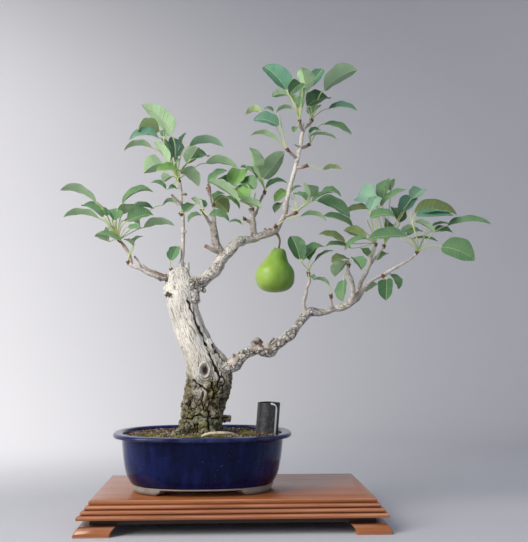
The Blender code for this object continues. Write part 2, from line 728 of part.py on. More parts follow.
def make_branch(name, parent, main, *sides):
    branch = stem(name, main, 1)
    for path in sides:
        branch = combine(branch, [stem("side", path, 1)], "UNION")
    return seated(branch, parent)


# ---------------------------------------------------------------- pear


def make_pear():
    """A turned shape, hung a little out of plumb from the limb."""
    profile = (
        (0.0, 1.0), (0.17, 0.985), (0.33, 0.94), (0.40, 0.88), (0.50, 0.79), (0.66, 0.69),
        (0.84, 0.59), (0.96, 0.48), (1.0, 0.38), (0.98, 0.27), (0.90, 0.16), (0.72, 0.065),
        (0.45, 0.008), (0.22, 0.004), (0.12, 0.02), (0.0, 0.035),
    )
    shape = bmesh.new()
    chain = [shape.verts.new((PEAR_RADIUS * r, 0.0, PEAR_HEIGHT * h)) for r, h in profile]
    for a, b in zip(chain, chain[1:]):
        shape.edges.new((a, b))
    mesh = bpy.data.meshes.new("pear")
    shape.to_mesh(mesh)
    shape.free()
    pear = helper("pear", mesh)
    turn = pear.modifiers.new("turned", "SCREW")
    turn.steps = 16
    turn.render_steps = 16
    turn.use_merge_vertices = True
    turn.merge_threshold = 0.00005
    pear.rotation_euler.y = math.radians(-4.5)
    pear.location = seen(116, 344, 5)
    bpy.context.view_layer.update()
    return settled(pear)


# ---------------------------------------------------------------- leaf rosettes

# Each rosette: the branch and the point (x, z, depth) that its bud sits on, the way the bud points,
# and its leaves. A leaf is the base and tip of its blade (x, z, x, z), its depth, how much of its
# upper (+) or under (-) side it turns to the front, its width, and the rise of its arch.
ROSETTES = {
    "far_left_leaves": (
        "left_branch", (-132, 423, -4), (-0.6, 0.8, 0.1),
        (
            (-170, 483, -227, 504, -8, -0.45, 22, 10),
            (-130, 483, -82, 503, 4, 0.35, 22, 11),
            (-165, 458, -221, 461, -4, -0.4, 20, 7),
            (-160, 461, -193, 480, -14, 0.5, 22, 3),
            (-155, 463, -164, 473, -22, 0.5, 12, 1),
            (-142, 456, -151, 474, -18, 0.8, 22, 2),
            (-140, 465, -100, 471, 14, -0.6, 20, 3),
            (-120, 472, -80, 475, 22, 0.35, 18, 5),
            (-122, 455, -81, 466, -12, 0.7, 22, 3),
            (-126, 456, -101, 449, -2, -0.4, 14, 2),
            (-96, 445, -48, 449, 8, -0.5, 20, 5),
            (-121, 446, -100, 444, -20, 0.5, 12, -3),
            (-150, 423, -172, 432, 8, -0.7, 16, 2),
            (-131, 424, -171, 434, -12, 0.45, 15, 3),
            (-150, 437, -158, 438, -4, 0.8, 9, 1),
            (-141, 435, -150, 447, 2, 0.8, 10, 1),
            (-67, 481, -42, 480, 12, -0.4, 12, 8),
        ),
    ),
    "lower_left_leaves": (
        "left_branch", (-118, 388, -10), (-0.3, 0.9, -0.3),
        (
            (-112, 417, -126, 427, -16, -0.4, 11, -2),
            (-111, 417, -97, 432, -14, -0.35, 11, -4),
        ),
    ),
    "trunk_leaf": (
        "trunk", (-51, 377, 0), (-0.4, 0.9, -0.1),
        ((-53, 393, -43, 416, -4, 0.9, 16, 2),),
    ),
    "shoot_leaf": (
        "left_shoot", (-37, 466, 6), (-0.5, 0.8, -0.4),
        ((-33, 470, -17, 484, -4, 0.7, 16, -2),),
    ),
    "left_top_leaves": (
        "left_shoot", (-41, 520, 6), (-0.5, 0.85, 0.0),
        (
            (-55, 595, -102, 644, 8, -0.85, 27, 12),
            (-74, 601, -108, 602, 22, -0.9, 26, 6),
            (-75, 590, -121, 587, -6, 0.5, 20, 8),
            (-85, 573, -129, 570, -14, -0.35, 18, 6),
            (-58, 549, -84, 585, -20, -0.6, 16, 2),
            (-57, 554, -74, 592, -2, 0.4, 18, 2),
            (-49, 558, -51, 591, 14, 0.9, 22, 1),
            (-40, 579, -31, 599, 20, -0.35, 14, 1),
            (-26, 577, 29, 576, 2, -0.5, 22, 10),
            (-29, 549, -12, 576, -10, -0.9, 20, 2),
            (-20, 556, 4, 561, -16, 0.6, 20, 5),
            (0, 549, 52, 541, -4, -0.55, 20, 8),
            (-38, 538, -10, 512, -12, -0.75, 22, 7),
            (-42, 537, -78, 536, -20, 0.5, 20, 1),
            (-68, 549, -97, 533, 10, -0.9, 26, 5),
            (-55, 528, -66, 518, 2, -0.8, 15, 1),
            (-62, 507, -85, 518, -6, 0.35, 12, 2),
            (-45, 508, -58, 507, -14, 0.6, 8, 1),
            (-67, 592, -66, 604, -14, 0.8, 8, 1),
            (-48, 550, -41, 556, -22, 0.8, 8, 1),
        ),
    ),
    "mid_left_leaves": (
        "mid_left_twig", (-4, 472, -21), (-0.4, 0.9, -0.2),
        (
            (-9, 482, -22, 493, -24, -0.8, 8, 1),
            (-2, 478, -8, 492, -30, 0.5, 10, 1),
            (-6, 466, -27, 455, -25, 0.4, 12, 3),
            (6, 465, 39, 457, -38, 0.6, 15, 5),
        ),
    ),
    "mid_leaves": (
        "mid_left_twig", (13, 481, -15), (0.1, 0.95, 0.1),
        (
            (5, 514, 35, 538, -4, 0.5, 18, 5),
            (13, 491, 37, 470, 0, -0.9, 22, 3),
            (10, 487, 31, 501, -10, 0.5, 14, 3),
            (31, 495, 55, 477, -8, 0.4, 12, 2),
        ),
    ),
    "middle_twig_leaves": (
        "middle_twig", (75.5, 474, -3), (-0.2, 0.95, -0.1),
        (
            (53, 490, 4, 522, -34, -0.6, 18, 3),
            (44, 513, 57, 541, -6, 0.9, 26, 2),
            (42, 517, 20, 524, 0, 0.5, 14, 3),
            (79, 508, 59, 525, -14, 0.9, 20, 2),
            (68, 491, 47, 510, -22, 0.9, 22, 2),
            (54, 488, 91, 477, -26, -0.6, 15, 3),
        ),
    ),
    "twig_bud_leaf": (
        "middle_twig", (63, 460, -6), (-0.8, 0.4, -0.4),
        ((58, 452, 38, 455, -16, 0.35, 8, 2),),
    ),
    "leaning_twig_leaves": (
        "leaning_twig", (94, 502, 8), (0.2, 0.95, 0.1),
        (
            (82, 526, 56, 545, -4, 0.2, 18, 3),
            (79, 539, 70, 577, 6, -0.6, 26, 2),
            (92, 526, 126, 570, 4, -0.85, 26, 3),
            (88, 526, 81, 547, -8, -0.9, 18, 1),
            (96, 510, 130, 520, 24, 0.5, 13, 6),
        ),
    ),
    "limb_bud_leaf": (
        "upper_limb", (111, 448, -2), (0.6, 0.7, -0.3),
        ((151, 465, 193, 459, -12, -0.4, 13, 6),),
    ),
    "spur_leaves": (
        "upper_limb", (143, 470, -6), (0.6, 0.7, -0.3),
        (
            (167, 496, 163, 517, -14, -0.9, 20, 2),
            (185, 505, 217, 499, 6, 0.5, 14, 4),
            (170, 489, 203, 505, -20, 0.3, 12, 2),
            (178, 491, 231, 464, -10, 0.6, 26, 6),
            (161, 491, 140, 501, -22, 0.35, 15, 3),
            (137, 505, 153, 514, 12, 0.3, 8, 1),
            (129, 506, 110, 488, 18, 0.9, 14, 2),
            (121, 486, 110, 471, 16, 0.7, 12, 1),
        ),
    ),
    "limb_side_leaf": (
        "upper_limb", (160, 547, -8), (0.9, 0.2, -0.3),
        ((187, 541, 219, 542, -12, -0.5, 13, 3),),
    ),
    "left_spur_leaves": (
        "upper_limb", (132, 572, -8), (-0.6, 0.8, -0.2),
        (
            (117, 612, 76, 622, -16, 0.7, 22, 5),
            (116, 585, 72, 597, -10, -0.4, 15, 7),
            (91, 634, 64, 631, 8, -0.6, 15, 5),
            (109, 637, 93, 640, -2, 0.6, 7, 1),
        ),
    ),
    "right_spur_leaves": (
        "upper_limb", (164, 581, 13), (0.7, 0.7, 0.2),
        (
            (168, 632, 182, 648, 18, 0.6, 18, 2),
            (190, 616, 235, 600, 24, 0.5, 15, 6),
            (166, 601, 185, 606, 8, 0.4, 11, 3),
            (168, 597, 211, 592, 14, -0.3, 12, 4),
        ),
    ),
    "apex_left_leaves": (
        "upper_limb", (151, 619, -3), (-0.1, 0.95, -0.2),
        (
            (129, 672, 93, 712, -8, 0.8, 30, 5),
            (131, 665, 106, 661, 6, -0.7, 15, 2),
            (154, 684, 134, 665, -14, 0.9, 18, 1),
            (147, 642, 134, 665, 2, -0.8, 15, 1),
            (154, 643, 159, 678, -8, 0.6, 12, 1),
            (161, 671, 154, 711, -2, -0.95, 24, 1),
            (139, 640, 112, 634, -10, -0.35, 13, 4),
            (147, 611, 141, 602, -12, 0.7, 10, 1),
        ),
    ),
    "apex_right_leaves": (
        "upper_limb", (170, 621, 12), (0.3, 0.9, 0.2),
        (
            (163, 646, 199, 660, 4, 0.7, 26, 6),
            (166, 677, 189, 709, 14, 0.8, 20, 2),
            (191, 674, 246, 709, 10, -0.75, 30, 7),
            (198, 642, 245, 640, 20, 0.4, 18, 6),
        ),
    ),
    "low_twig_leaves": (
        "low_twig", (163.5, 372, -9), (0.0, 0.95, -0.1),
        (
            (150, 396, 136, 434, -18, 0.95, 22, 2),
            (154, 395, 188, 418, -2, 0.6, 20, 6),
            (165, 395, 178, 417, -12, 0.6, 14, 1),
            (174, 394, 203, 411, -6, 0.25, 10, 2),
            (165, 369, 174, 365, -18, 0.6, 8, 1),
        ),
    ),
    "nub_leaf": (
        "lower_limb", (199, 337, 4), (-0.1, 0.95, -0.1),
        ((196, 356, 171, 365, 2, -0.35, 11, 2),),
    ),
    "front_fork_leaves": (
        "fork_front", (227, 385, -16), (0.1, 0.95, -0.2),
        (
            (226, 398, 201, 391, -24, 0.5, 18, 2),
            (222, 394, 205, 369, -30, -0.7, 22, 2),
            (219, 364, 218, 330, -34, 0.7, 20, 1),
            (236, 400, 248, 381, -26, 0.8, 18, 2),
        ),
    ),
    "middle_fork_leaves": (
        "fork_middle", (271, 420, 15), (0.1, 0.95, 0.1),
        (
            (256, 430, 220, 444, -6, -0.8, 17, 2),
            (222, 424, 180, 437, -12, 0.5, 17, 3),
            (257, 431, 221, 412, -16, 0.5, 13, 4),
            (231, 415, 191, 419, 0, 0.4, 12, 2),
            (257, 402, 248, 415, -4, 0.7, 13, 1),
            (235, 449, 188, 467, 6, 0.5, 16, 3),
            (262, 478, 222, 471, 14, 0.4, 20, 2),
            (264, 476, 274, 498, -8, 0.9, 18, 1),
            (270, 494, 244, 500, 10, 0.9, 30, 3),
            (262, 464, 305, 466, -16, 0.6, 18, 4),
        ),
    ),
    "back_fork_leaves": (
        "fork_back", (284, 417, 34), (0.3, 0.9, 0.2),
        (
            (284, 496, 290, 527, 30, 0.8, 22, 2),
            (297, 509, 298, 527, 40, -0.9, 16, 1),
            (280, 483, 322, 511, 20, 0.4, 18, 3),
            (317, 473, 331, 501, 28, 0.9, 24, 2),
            (310, 457, 302, 481, 36, 0.8, 22, 1),
            (290, 440, 288, 463, 42, 0.6, 20, 1),
            (330, 495, 347, 512, 38, 0.9, 20, 2),
            (273, 396, 291, 407, 46, 0.6, 13, 1),
        ),
    ),
    "right_fork_leaves": (
        "fork_right", (336, 407, -20), (0.5, 0.85, -0.1),
        (
            (334, 473, 404, 471, 2, 0.6, 28, 9),
            (337, 467, 398, 470, -14, 0.5, 20, -4),
            (388, 452, 459, 456, -6, 0.4, 20, 7),
            (362, 450, 390, 456, 8, 0.25, 9, 1),
            (364, 443, 396, 442, 12, 0.6, 13, 1),
            (335, 459, 368, 440, -26, -0.6, 12, 3),
            (377, 418, 431, 397, -24, 0.9, 30, 6),
            (322, 434, 259, 430, -36, 0.6, 22, 2),
            (322, 436, 347, 443, 4, 0.5, 14, 2),
            (332, 431, 372, 427, 14, 0.25, 10, 1),
            (312, 434, 333, 451, -8, -0.6, 13, 2),
        ),
    ),
    "hanging_leaves": (
        "fork_right", (282, 371, -14), (0.3, -0.7, -0.5),
        (
            (288, 366, 286, 332, -22, 0.95, 20, 1),
            (293, 374, 307, 350, -8, 0.6, 15, 4),
            (272, 358, 252, 345, -2, -0.7, 13, 1),
        ),
    ),
}


def arched(base, tip, rise_way, rise, share):
    """A point on the line from base to tip that rises most in the middle."""
    return base.lerp(tip, share) + rise_way * rise * 4 * share * (1 - share)


def leaf_frame(x, z, tip_x, tip_z, depth, facing, width):
    """The blade's base, tip, and its directions across and out of the upper face."""
    seen_length = math.hypot(tip_x - x, tip_z - z)
    length = max(seen_length, 2.0 * width)
    away = math.sqrt(max(0.0, length**2 - seen_length**2))
    if (facing > 0) != (tip_z > z):
        away = -away
    base = seen(x, z, depth)
    tip = seen(tip_x, tip_z, depth + 0.8 * away)
    along = (tip - base).normalized()
    to_viewer = (FRONT_VIEW * MM - base).normalized()
    face_on = (to_viewer - along * along.dot(to_viewer)).normalized()
    edge_on = along.cross(face_on)
    turn = math.acos(max(-1.0, min(1.0, facing)))
    ways = [face_on * math.cos(turn) + edge_on * math.sin(turn) * side for side in (-1, 1)]
    outward = max(ways, key=lambda way: way.z)
    return base, tip, along.cross(outward).normalized(), outward


def petiole_frames(start, bend, base, bud_way, along, across):
    """Where the petiole's three rings lie and how each is turned, the last as the blade is."""
    frames = []
    onto_blade = (base - bend).normalized() + along * 1.2
    for place, onward in ((base, onto_blade), (bend, base - start), (start, bud_way)):
        onward = onward.normalized()
        side = across - onward * across.dot(onward)
        side = side.normalized() if side.length > 0.15 else onward.orthogonal().normalized()
        frames.append((place, side, side.cross(onward)))
        across = side
    return frames[::-1]


def make_leaf(bud, bud_way, spec):
    """A petiole and a folded, arched blade: four-sided rings that end in a point."""
    x, z, tip_x, tip_z, depth, facing, width, arch = spec
    base, tip, across, outward = leaf_frame(x, z, tip_x, tip_z, depth, facing, width)
    up = Vector((0.0, 0.0, 1.0)) if abs(tip_x - x) > abs(tip_z - z) else Vector((1.0, 0.0, 0.0))
    rise = up * arch + outward * 3
    rise_way, rise_by = rise.normalized(), rise.length * MM
    along = (tip - base).normalized()
    onward = (base - bud).normalized()
    start = bud + onward * BUD_RADIUS * 0.7
    first_way = (onward + bud_way).normalized() if onward.dot(bud_way) > 0.2 else onward
    length = (base - start).length
    bend = start + first_way * length * 0.3
    frames = petiole_frames(start, bend, base, first_way, along, across)
    if length < SHORT_PETIOLE:
        frames = frames[::2]  # straight, with no bend near the bud
    rings = []
    for place, side, over in frames:
        side, over = side * PETIOLE_RADIUS, over * PETIOLE_RADIUS
        rings.append([place - side, place - over, place + side, place + over])
    for share, wide in BLADE_OUTLINE if width > 13 else SMALL_BLADE_OUTLINE:
        middle = arched(base, tip, rise_way, rise_by, share)
        half = width * MM / 2 * wide
        lift = outward * half * 0.35
        thick = outward * BLADE_THICKNESS / 2
        rings.append(
            [
                middle - across * half + lift,
                middle - thick,
                middle + across * half + lift,
                middle + thick,
            ]
        )
    return loft("leaf", rings, tip)


def make_rosette(name, seat, way, leaves, branch):
    place = seen(*seat)
    bud_way = Vector((way[0], way[2], way[1])).normalized()
    shape = bmesh.new()
    bmesh.ops.create_uvsphere(shape, u_segments=6, v_segments=4, radius=BUD_RADIUS)
    bmesh.ops.scale(shape, vec=(1.0, 1.0, 1.6), verts=shape.verts)
    turn = Vector((0.0, 0.0, 1.0)).rotation_difference(bud_way)
    bmesh.ops.rotate(shape, matrix=turn.to_matrix(), verts=shape.verts)
    bmesh.ops.translate(shape, vec=place + bud_way * BUD_RADIUS, verts=shape.verts)
    rosette = from_bmesh(name, shape)
    middle = place + bud_way * BUD_RADIUS * 1.2
    for leaf in leaves:
        rosette = combine(rosette, [make_leaf(middle, bud_way, leaf)], "UNION", "MANIFOLD")
    return seated(rosette, branch, solver="MANIFOLD")


# ---------------------------------------------------------------- putting it together

pot = make_pot()
screens = [make_screen("left_drain_screen", -1), make_screen("right_drain_screen", 1)]
trunk = make_trunk()
sleeve = make_sleeve()
soil = make_soil(pot, (trunk, sleeve), screens)
keep(trunk, TRUNK_BARK)
keep(sleeve, SLEEVE_SHEETING)


def moss_patch(name, along, y, share, deep, high):
    """A low cushion of moss, seated on the soil, the roots and the trunk. Its place and width along
    the pot are shares of the pot's length."""
    x, wide = along * POT_LENGTH / MM, share * POT_LENGTH / MM
    shape = bmesh.new()
    bmesh.ops.create_uvsphere(shape, u_segments=14, v_segments=6, radius=1.0)
    bmesh.ops.scale(shape, vec=Vector((wide, deep, high)) * MM, verts=shape.verts)
    for vert in shape.verts:
        vert.co *= 1 + 0.12 * noise.noise(vert.co * 90 + Vector((x, y, 0.0)))
    bmesh.ops.translate(
        shape, vec=(x * MM, y * MM, SOIL_TOP + 1.5 * MM), verts=shape.verts
    )
    patch = seated(from_bmesh(name, shape), soil, trunk)
    return keep(patch, MOSS)


moss_patch("moss_left", -0.289, -28, 0.096, 22, 6)
moss_patch("moss_front", 0.015, -62, 0.126, 14, 6)
moss_patch("moss_right", 0.244, -12, 0.052, 16, 6)

pale_root = stem(
    "pale_root",
    [(-2, 122, -66, 2.4), (10, 125, -70, 2.4), (25, 126.5, -72, 2.4), (40, 125.5, -70, 2.2),
     (54, 122, -66, 2)],
)
bpy.context.view_layer.update()
keep(seated(pale_root, soil, bpy.data.objects["moss_front"]), PALE_ROOT)

wood = {"trunk": trunk}
for name, (parent, *paths) in BRANCHES.items():
    wood[name] = keep(make_branch(name, wood[parent], *paths), LIMB_BARK)

pear = make_pear()
stalk = stem(
    "pear_stalk",
    ((113, 438, 8, 2.6), (116, 432, 7, 2), (118, 427, 6, 1.7), (117.5, 419, 5, 1.7),
     (115.5, 408, 5, 2)),
)
keep(seated(stalk, wood["upper_limb"]), STALK)
keep(seated(pear, bpy.data.objects["pear_stalk"]), PEAR_SKIN)

for name, (branch, seat, way, leaves) in ROSETTES.items():
    keep(make_rosette(name, seat, way, leaves, wood[branch]), LEAF)

# The origin is the middle of the whole object's footprint.
bpy.context.view_layer.update()
graph = bpy.context.evaluated_depsgraph_get()
corners = []
for piece in parts.objects:
    if piece.type == "MESH":
        shown = piece.evaluated_get(graph)
        corners += [shown.matrix_world @ Vector(corner) for corner in shown.bound_box]
low = Vector(map(min, zip(*corners)))
high = Vector(map(max, zip(*corners)))
root.location = (-(low.x + high.x) / 2, -(low.y + high.y) / 2, -low.z)
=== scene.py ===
"""A potted pear bonsai on its display stand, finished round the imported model. Metres, +Z up."""

import math
import random

import bmesh
import bpy
import numpy as np
from mathutils import Matrix, Quaternion, Vector, kdtree, noise


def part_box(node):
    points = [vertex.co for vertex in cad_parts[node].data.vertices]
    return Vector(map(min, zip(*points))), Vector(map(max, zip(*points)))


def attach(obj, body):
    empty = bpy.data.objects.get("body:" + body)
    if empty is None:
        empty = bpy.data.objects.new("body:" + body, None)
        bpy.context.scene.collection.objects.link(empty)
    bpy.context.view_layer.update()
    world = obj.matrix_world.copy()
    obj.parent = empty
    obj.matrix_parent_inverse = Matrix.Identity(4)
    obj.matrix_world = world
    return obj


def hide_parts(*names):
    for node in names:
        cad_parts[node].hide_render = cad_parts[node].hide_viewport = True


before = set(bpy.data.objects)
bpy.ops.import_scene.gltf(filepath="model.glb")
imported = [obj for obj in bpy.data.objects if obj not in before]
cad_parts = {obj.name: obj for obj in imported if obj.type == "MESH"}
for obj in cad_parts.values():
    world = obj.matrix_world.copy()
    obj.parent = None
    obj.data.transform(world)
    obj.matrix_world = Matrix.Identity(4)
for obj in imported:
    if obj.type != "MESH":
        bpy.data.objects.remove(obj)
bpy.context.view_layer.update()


# ---------------------------------------------------------------- where it is shown
# A tree of this kind is composed for one front, so it is set out from the place it is looked at.
# It stands on a pale floor that curves up into a round backdrop, in soft light from the left.

MM = 0.001
pot_low, pot_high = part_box("pot")
POT_AT = Vector(((pot_low.x + pot_high.x) / 2, (pot_low.y + pot_high.y) / 2, 0.0))
POT_BASE = pot_low.z
LIP_TOP = pot_high.z
FRONT_VIEW = Vector((34.7, -1163.4, 251.0)) * MM + POT_AT
TREE_LIFT = LIP_TOP - 131.3 * MM  # the tree's points are given for a lip at this height
FLOOR_RADIUS, BEND_RADIUS, WALL_TOP, BACKDROP_SIDES = 1.05, 1.35, 3.4, 96


def placed(name, data):
    """A new object in the scene."""
    thing = bpy.data.objects.new(name, data)
    bpy.context.scene.collection.objects.link(thing)
    return thing


def mesh_from(name, shape):
    """The shape as a mesh, with its faces turned outwards."""
    bmesh.ops.recalc_face_normals(shape, faces=shape.faces)
    mesh = bpy.data.meshes.new(name)
    shape.to_mesh(mesh)
    shape.free()
    return mesh


def skin(shape, rings, caps=True):
    """Quads between successive rings of equally many points, closed at both ends if it has caps."""
    rows = [[shape.verts.new(point) for point in ring] for ring in rings]
    for low, high in zip(rows, rows[1:]):
        for i in range(len(low)):
            j = (i + 1) % len(low)
            shape.faces.new((low[i], low[j], high[j], high[i]))
    if caps:
        shape.faces.new(rows[0][::-1])
        shape.faces.new(rows[-1])

def seen(x, z, depth):
    """The place of a point seen at (x, z) in the trunk's upright plane, that far behind it, in mm."""
    there = Vector((x, 0.0, z)) * MM + POT_AT
    share = (depth * MM + POT_AT.y - FRONT_VIEW.y) / (POT_AT.y - FRONT_VIEW.y)
    return FRONT_VIEW + (there - FRONT_VIEW) * share + Vector((0.0, 0.0, TREE_LIFT))


eye = placed("front_view", bpy.data.cameras.new("front_view"))
eye.location = FRONT_VIEW
eye.rotation_euler = (math.radians(96.2), 0.0, math.radians(-2.88))
eye.data.sensor_width = 36.0
eye.data.lens = 49.5
eye.data.clip_start = 0.05
bpy.context.scene.camera = eye
bpy.context.scene.view_settings.view_transform = "Standard"

shape = bmesh.new()
turns = [2 * math.pi * i / BACKDROP_SIDES for i in range(BACKDROP_SIDES)]
bends = [math.radians(degrees) for degrees in range(0, 91, 3)]
sweep = [(FLOOR_RADIUS + BEND_RADIUS * math.sin(a), BEND_RADIUS * (1 - math.cos(a))) for a in bends]
sweep.append((FLOOR_RADIUS + BEND_RADIUS, WALL_TOP))
skin(shape, [[(out * math.cos(a), out * math.sin(a), up) for a in turns] for out, up in sweep], caps=False)
shape.verts.ensure_lookup_table()
shape.faces.new(shape.verts[:BACKDROP_SIDES])
backdrop = placed("backdrop", mesh_from("backdrop", shape))
backdrop.location.z = -0.2 * MM
backdrop.data.shade_smooth()
paper = bpy.data.materials.new("backdrop_paper")
paper.use_nodes = True
paper_inputs = paper.node_tree.nodes["Principled BSDF"].inputs
paper_inputs["Base Color"].default_value = (0.45, 0.455, 0.49, 1.0)
paper_inputs["Roughness"].default_value = 0.9
backdrop.data.materials.append(paper)

world = bpy.data.worlds.new("room")
bpy.context.scene.world = world
world.use_nodes = True
world.node_tree.nodes["Background"].inputs["Color"].default_value = (0.74, 0.81, 0.94, 1.0)
world.node_tree.nodes["Background"].inputs["Strength"].default_value = 0.32


def soft_light(name, place, aim, wide, high, watts, colour):
    lamp = bpy.data.lights.new(name, "AREA")
    lamp.shape = "RECTANGLE"
    lamp.size = wide
    lamp.size_y = high
    lamp.energy = watts
    lamp.color = colour
    holder = placed(name, lamp)
    holder.location = place
    holder.rotation_euler = (Vector(aim) - Vector(place)).to_track_quat("-Z", "Y").to_euler()
    holder.visible_camera = False


soft_light("window", (-1.45, -0.95, 1.25), (0.0, 0.0, 0.3), 1.1, 1.5, 49.0, (1.0, 0.975, 0.93))
soft_light("fill", (1.5, -0.9, 0.8), (0.1, 0.0, 0.25), 0.7, 1.1, 4.0, (0.76, 0.87, 1.0))
soft_light("ceiling", (0.0, -0.3, 2.3), (0.0, 0.0, 0.0), 1.6, 1.6, 10.0, (0.95, 0.97, 1.0))
soft_light("wall_wash", (-1.0, 0.7, 1.2), (-1.7, 1.9, 0.3), 1.5, 1.5, 28.0, (1.0, 0.95, 0.86))


# ---------------------------------------------------------------- display stand
# A low table of red-brown varnished hardwood: a plain panel in a stepped moulding, mitred at the
# corners, over a frame coloured near-black as painted shade, and four flared bracket feet. The arrises
# are painted pale, partly rubbed by handling and partly a painted highlight, and the grooves under the
# steps carry painted shade.

EVEN = (1.0, 1.0, 1.0)  # no stretch
SHARPER_THAN = math.radians(38)  # edges that turn more than this stay crisp
STEP_OUT, STEP_DOWN = 5.0 * MM, 6.0 * MM
MITRE = 0.25 * MM  # left open at each corner of the moulding
RAIL_RINGS = 31
FOOT_FLARE, FOOT_LEG, FOOT_THICK, FOOT_OUT = 7.0 * MM, 51.0 * MM, 17.0 * MM, 11.0 * MM
FOOT_ROUNDING = 1.2 * MM


class Tone:
    """A value, colour or vector in a finish. Arithmetic on values adds Math nodes."""

    def __init__(self, finish, socket):
        self.finish = finish
        self.socket = socket

    def maths(self, operation, *terms):
        return self.finish.node("Math", {"operation": operation}, dict(enumerate(terms)))

    def __add__(self, other):
        return self.maths("ADD", self, other)

    __radd__ = __add__

    def __sub__(self, other):
        return self.maths("SUBTRACT", self, other)

    def __rsub__(self, other):
        return self.maths("SUBTRACT", other, self)

    def __mul__(self, other):
        return self.maths("MULTIPLY", self, other)

    __rmul__ = __mul__

    def __truediv__(self, other):
        return self.maths("DIVIDE", self, other)

    def __abs__(self):
        return self.maths("ABSOLUTE", self)

    def between(self, low, high):
        """0 at low and 1 at high, smoothly."""
        settings = {"interpolation_type": "SMOOTHSTEP"}
        sockets = {"Value": self, "From Min": low, "From Max": high}
        return self.finish.node("MapRange", settings, sockets)


class Finish:
    """A material whose looks are built up round one Principled shader."""

    def __init__(self, name, constants):
        self.material = bpy.data.materials.new(name)
        self.material.use_nodes = True
        self.tree = self.material.node_tree
        self.shader = self.tree.nodes["Principled BSDF"]
        for socket, value in constants.items():
            self.feed(self.shader.inputs[socket], value)

    def feed(self, socket, value):
        if isinstance(value, Tone):
            self.tree.links.new(value.socket, socket)
        elif socket.type == "RGBA":
            socket.default_value = (*value, 1.0)
        else:
            socket.default_value = value

    def node(self, kind, settings, sockets, output=0):
        made = self.tree.nodes.new("ShaderNode" + kind)
        for name, value in settings.items():
            if name == "stops":
                stops = made.color_ramp.elements
                stops.remove(stops[1])
                stops[0].position, stops[0].color = value[0][0], (*value[0][1], 1.0)
                for place, colour in value[1:]:
                    stops.new(place).color = (*colour, 1.0)
            else:
                setattr(made, name, value)
        for name, value in sockets.items():
            self.feed(made.inputs[name], value)
        return Tone(self, made.outputs[output])

    def vector(self, operation, first, second):
        return self.node("VectorMath", {"operation": operation}, {0: first, 1: second})

    def place(self, stretch=EVEN):
        """Where a point is in the row frame, in metres, stretched for grain."""
        return self.vector("MULTIPLY", self.node("TexCoord", {}, {}, "Object"), stretch)

    def axis(self, name):
        return self.node("SeparateXYZ", {}, {"Vector": self.place()}, name)

    def cloud(self, where, scale, detail=4.0, roughness=0.55):
        """Soft noise at a place, or over the whole row frame when where is a stretch."""
        where = where if isinstance(where, Tone) else self.place(where)
        sockets = {"Vector": where, "Scale": scale, "Detail": detail, "Roughness": roughness}
        return self.node("TexNoise", {}, sockets, "Fac")

    def cells(self, feature, where, scale):
        """Distances in a pattern of cells, that many to the metre."""
        return self.node("TexVoronoi", {"feature": feature}, {"Vector": where, "Scale": scale}, "Distance")

    def carried(self, name, output="Fac"):
        """A number or colour that the mesh itself holds."""
        return self.node("Attribute", {"attribute_name": name}, {}, output)

    def ramp(self, share, *stops):
        """The colour at that share of a row of (share, colour) stops."""
        return self.node("ValToRGB", {"stops": stops}, {"Fac": share})

    def blend(self, share, first, second):
        settings = {"data_type": "RGBA", "blend_type": "MIX"}
        return self.node("Mix", settings, {0: share, 6: first, 7: second}, 2)

    def over(self, colour, *coats):
        """Lays each (share, colour) in turn over the first colour."""
        for share, coat in coats:
            colour = self.blend(share, colour, coat)
        return colour

    def show(self, colour, roughness, height=None, depth=0.0):
        self.feed(self.shader.inputs["Base Color"], colour)
        self.feed(self.shader.inputs["Roughness"], roughness)
        if height is not None:
            bump = self.node("Bump", {}, {"Height": height, "Distance": depth})
            self.feed(self.shader.inputs["Normal"], bump)
        return self.material

def varnish(name, stretch):
    """Varnished hardwood with its grain along the axis that is stretched least."""
    wood = Finish(name, {"Coat Weight": 0.35, "Coat Roughness": 0.16, "IOR": 1.48})

    def grain_at(fineness, detail, roughness):
        return wood.cloud([fineness * s for s in stretch], 1.0, detail, roughness)

    figure = grain_at(2.2, 4.0, 0.5)
    dark_pores = grain_at(14.0, 2.0, 0.6).between(0.56, 0.72)
    # pale arrises: partly real wear from handling, partly a painted highlight along the edges
    wear_and_highlight = wood.carried("arris") * grain_at(9.0, 3.0, 0.6).between(0.3, 0.65)
    patches = wood.cloud(EVEN, 11.0, 3.0)
    scratches = wood.cloud((60.0, 240.0, 900.0), 1.0, 2.0, 0.8).between(0.70, 0.74)
    colour = wood.over(
        wood.ramp(
            figure * 0.85 + patches * 0.15,
            (0.25, (0.19, 0.052, 0.014)), (0.48, (0.295, 0.092, 0.025)),
            (0.62, (0.36, 0.118, 0.035)), (0.8, (0.41, 0.145, 0.050)),
        ),
        (dark_pores * 0.35, (0.11, 0.030, 0.012)),
        (wear_and_highlight * 0.6, (0.58, 0.27, 0.16)),
        # painted shade: near-black in the grooves under each step, at the panel's foot and at the feet's
        # tops
        (wood.carried("groove") * 0.8, (0.045, 0.012, 0.008)),
        (scratches * 0.3, (0.66, 0.42, 0.32)),
    )
    roughness = 0.24 + patches * 0.14 + wear_and_highlight * 0.2
    return wood.show(colour, roughness, figure * 0.5 + (1 - dark_pores) * 0.5, 0.35 * MM)


GRAIN_ALONG = varnish("varnish_long_grain", (1.0, 34.0, 34.0))
GRAIN_ACROSS = varnish("varnish_cross_grain", (34.0, 1.0, 34.0))

# painted shade: the frame set back under the moulding is coloured near-black for the shade it sits in
dark_wood = Finish("underframe_painted_shade", {})
dull = dark_wood.cloud((8.0, 90.0, 90.0), 1.0)
underframe_shade = dark_wood.blend(dull, (0.012, 0.006, 0.005), (0.055, 0.022, 0.014))
UNDER_WOOD = dark_wood.show(underframe_shade, 0.45 + dull * 0.2, dull, 0.3 * MM)


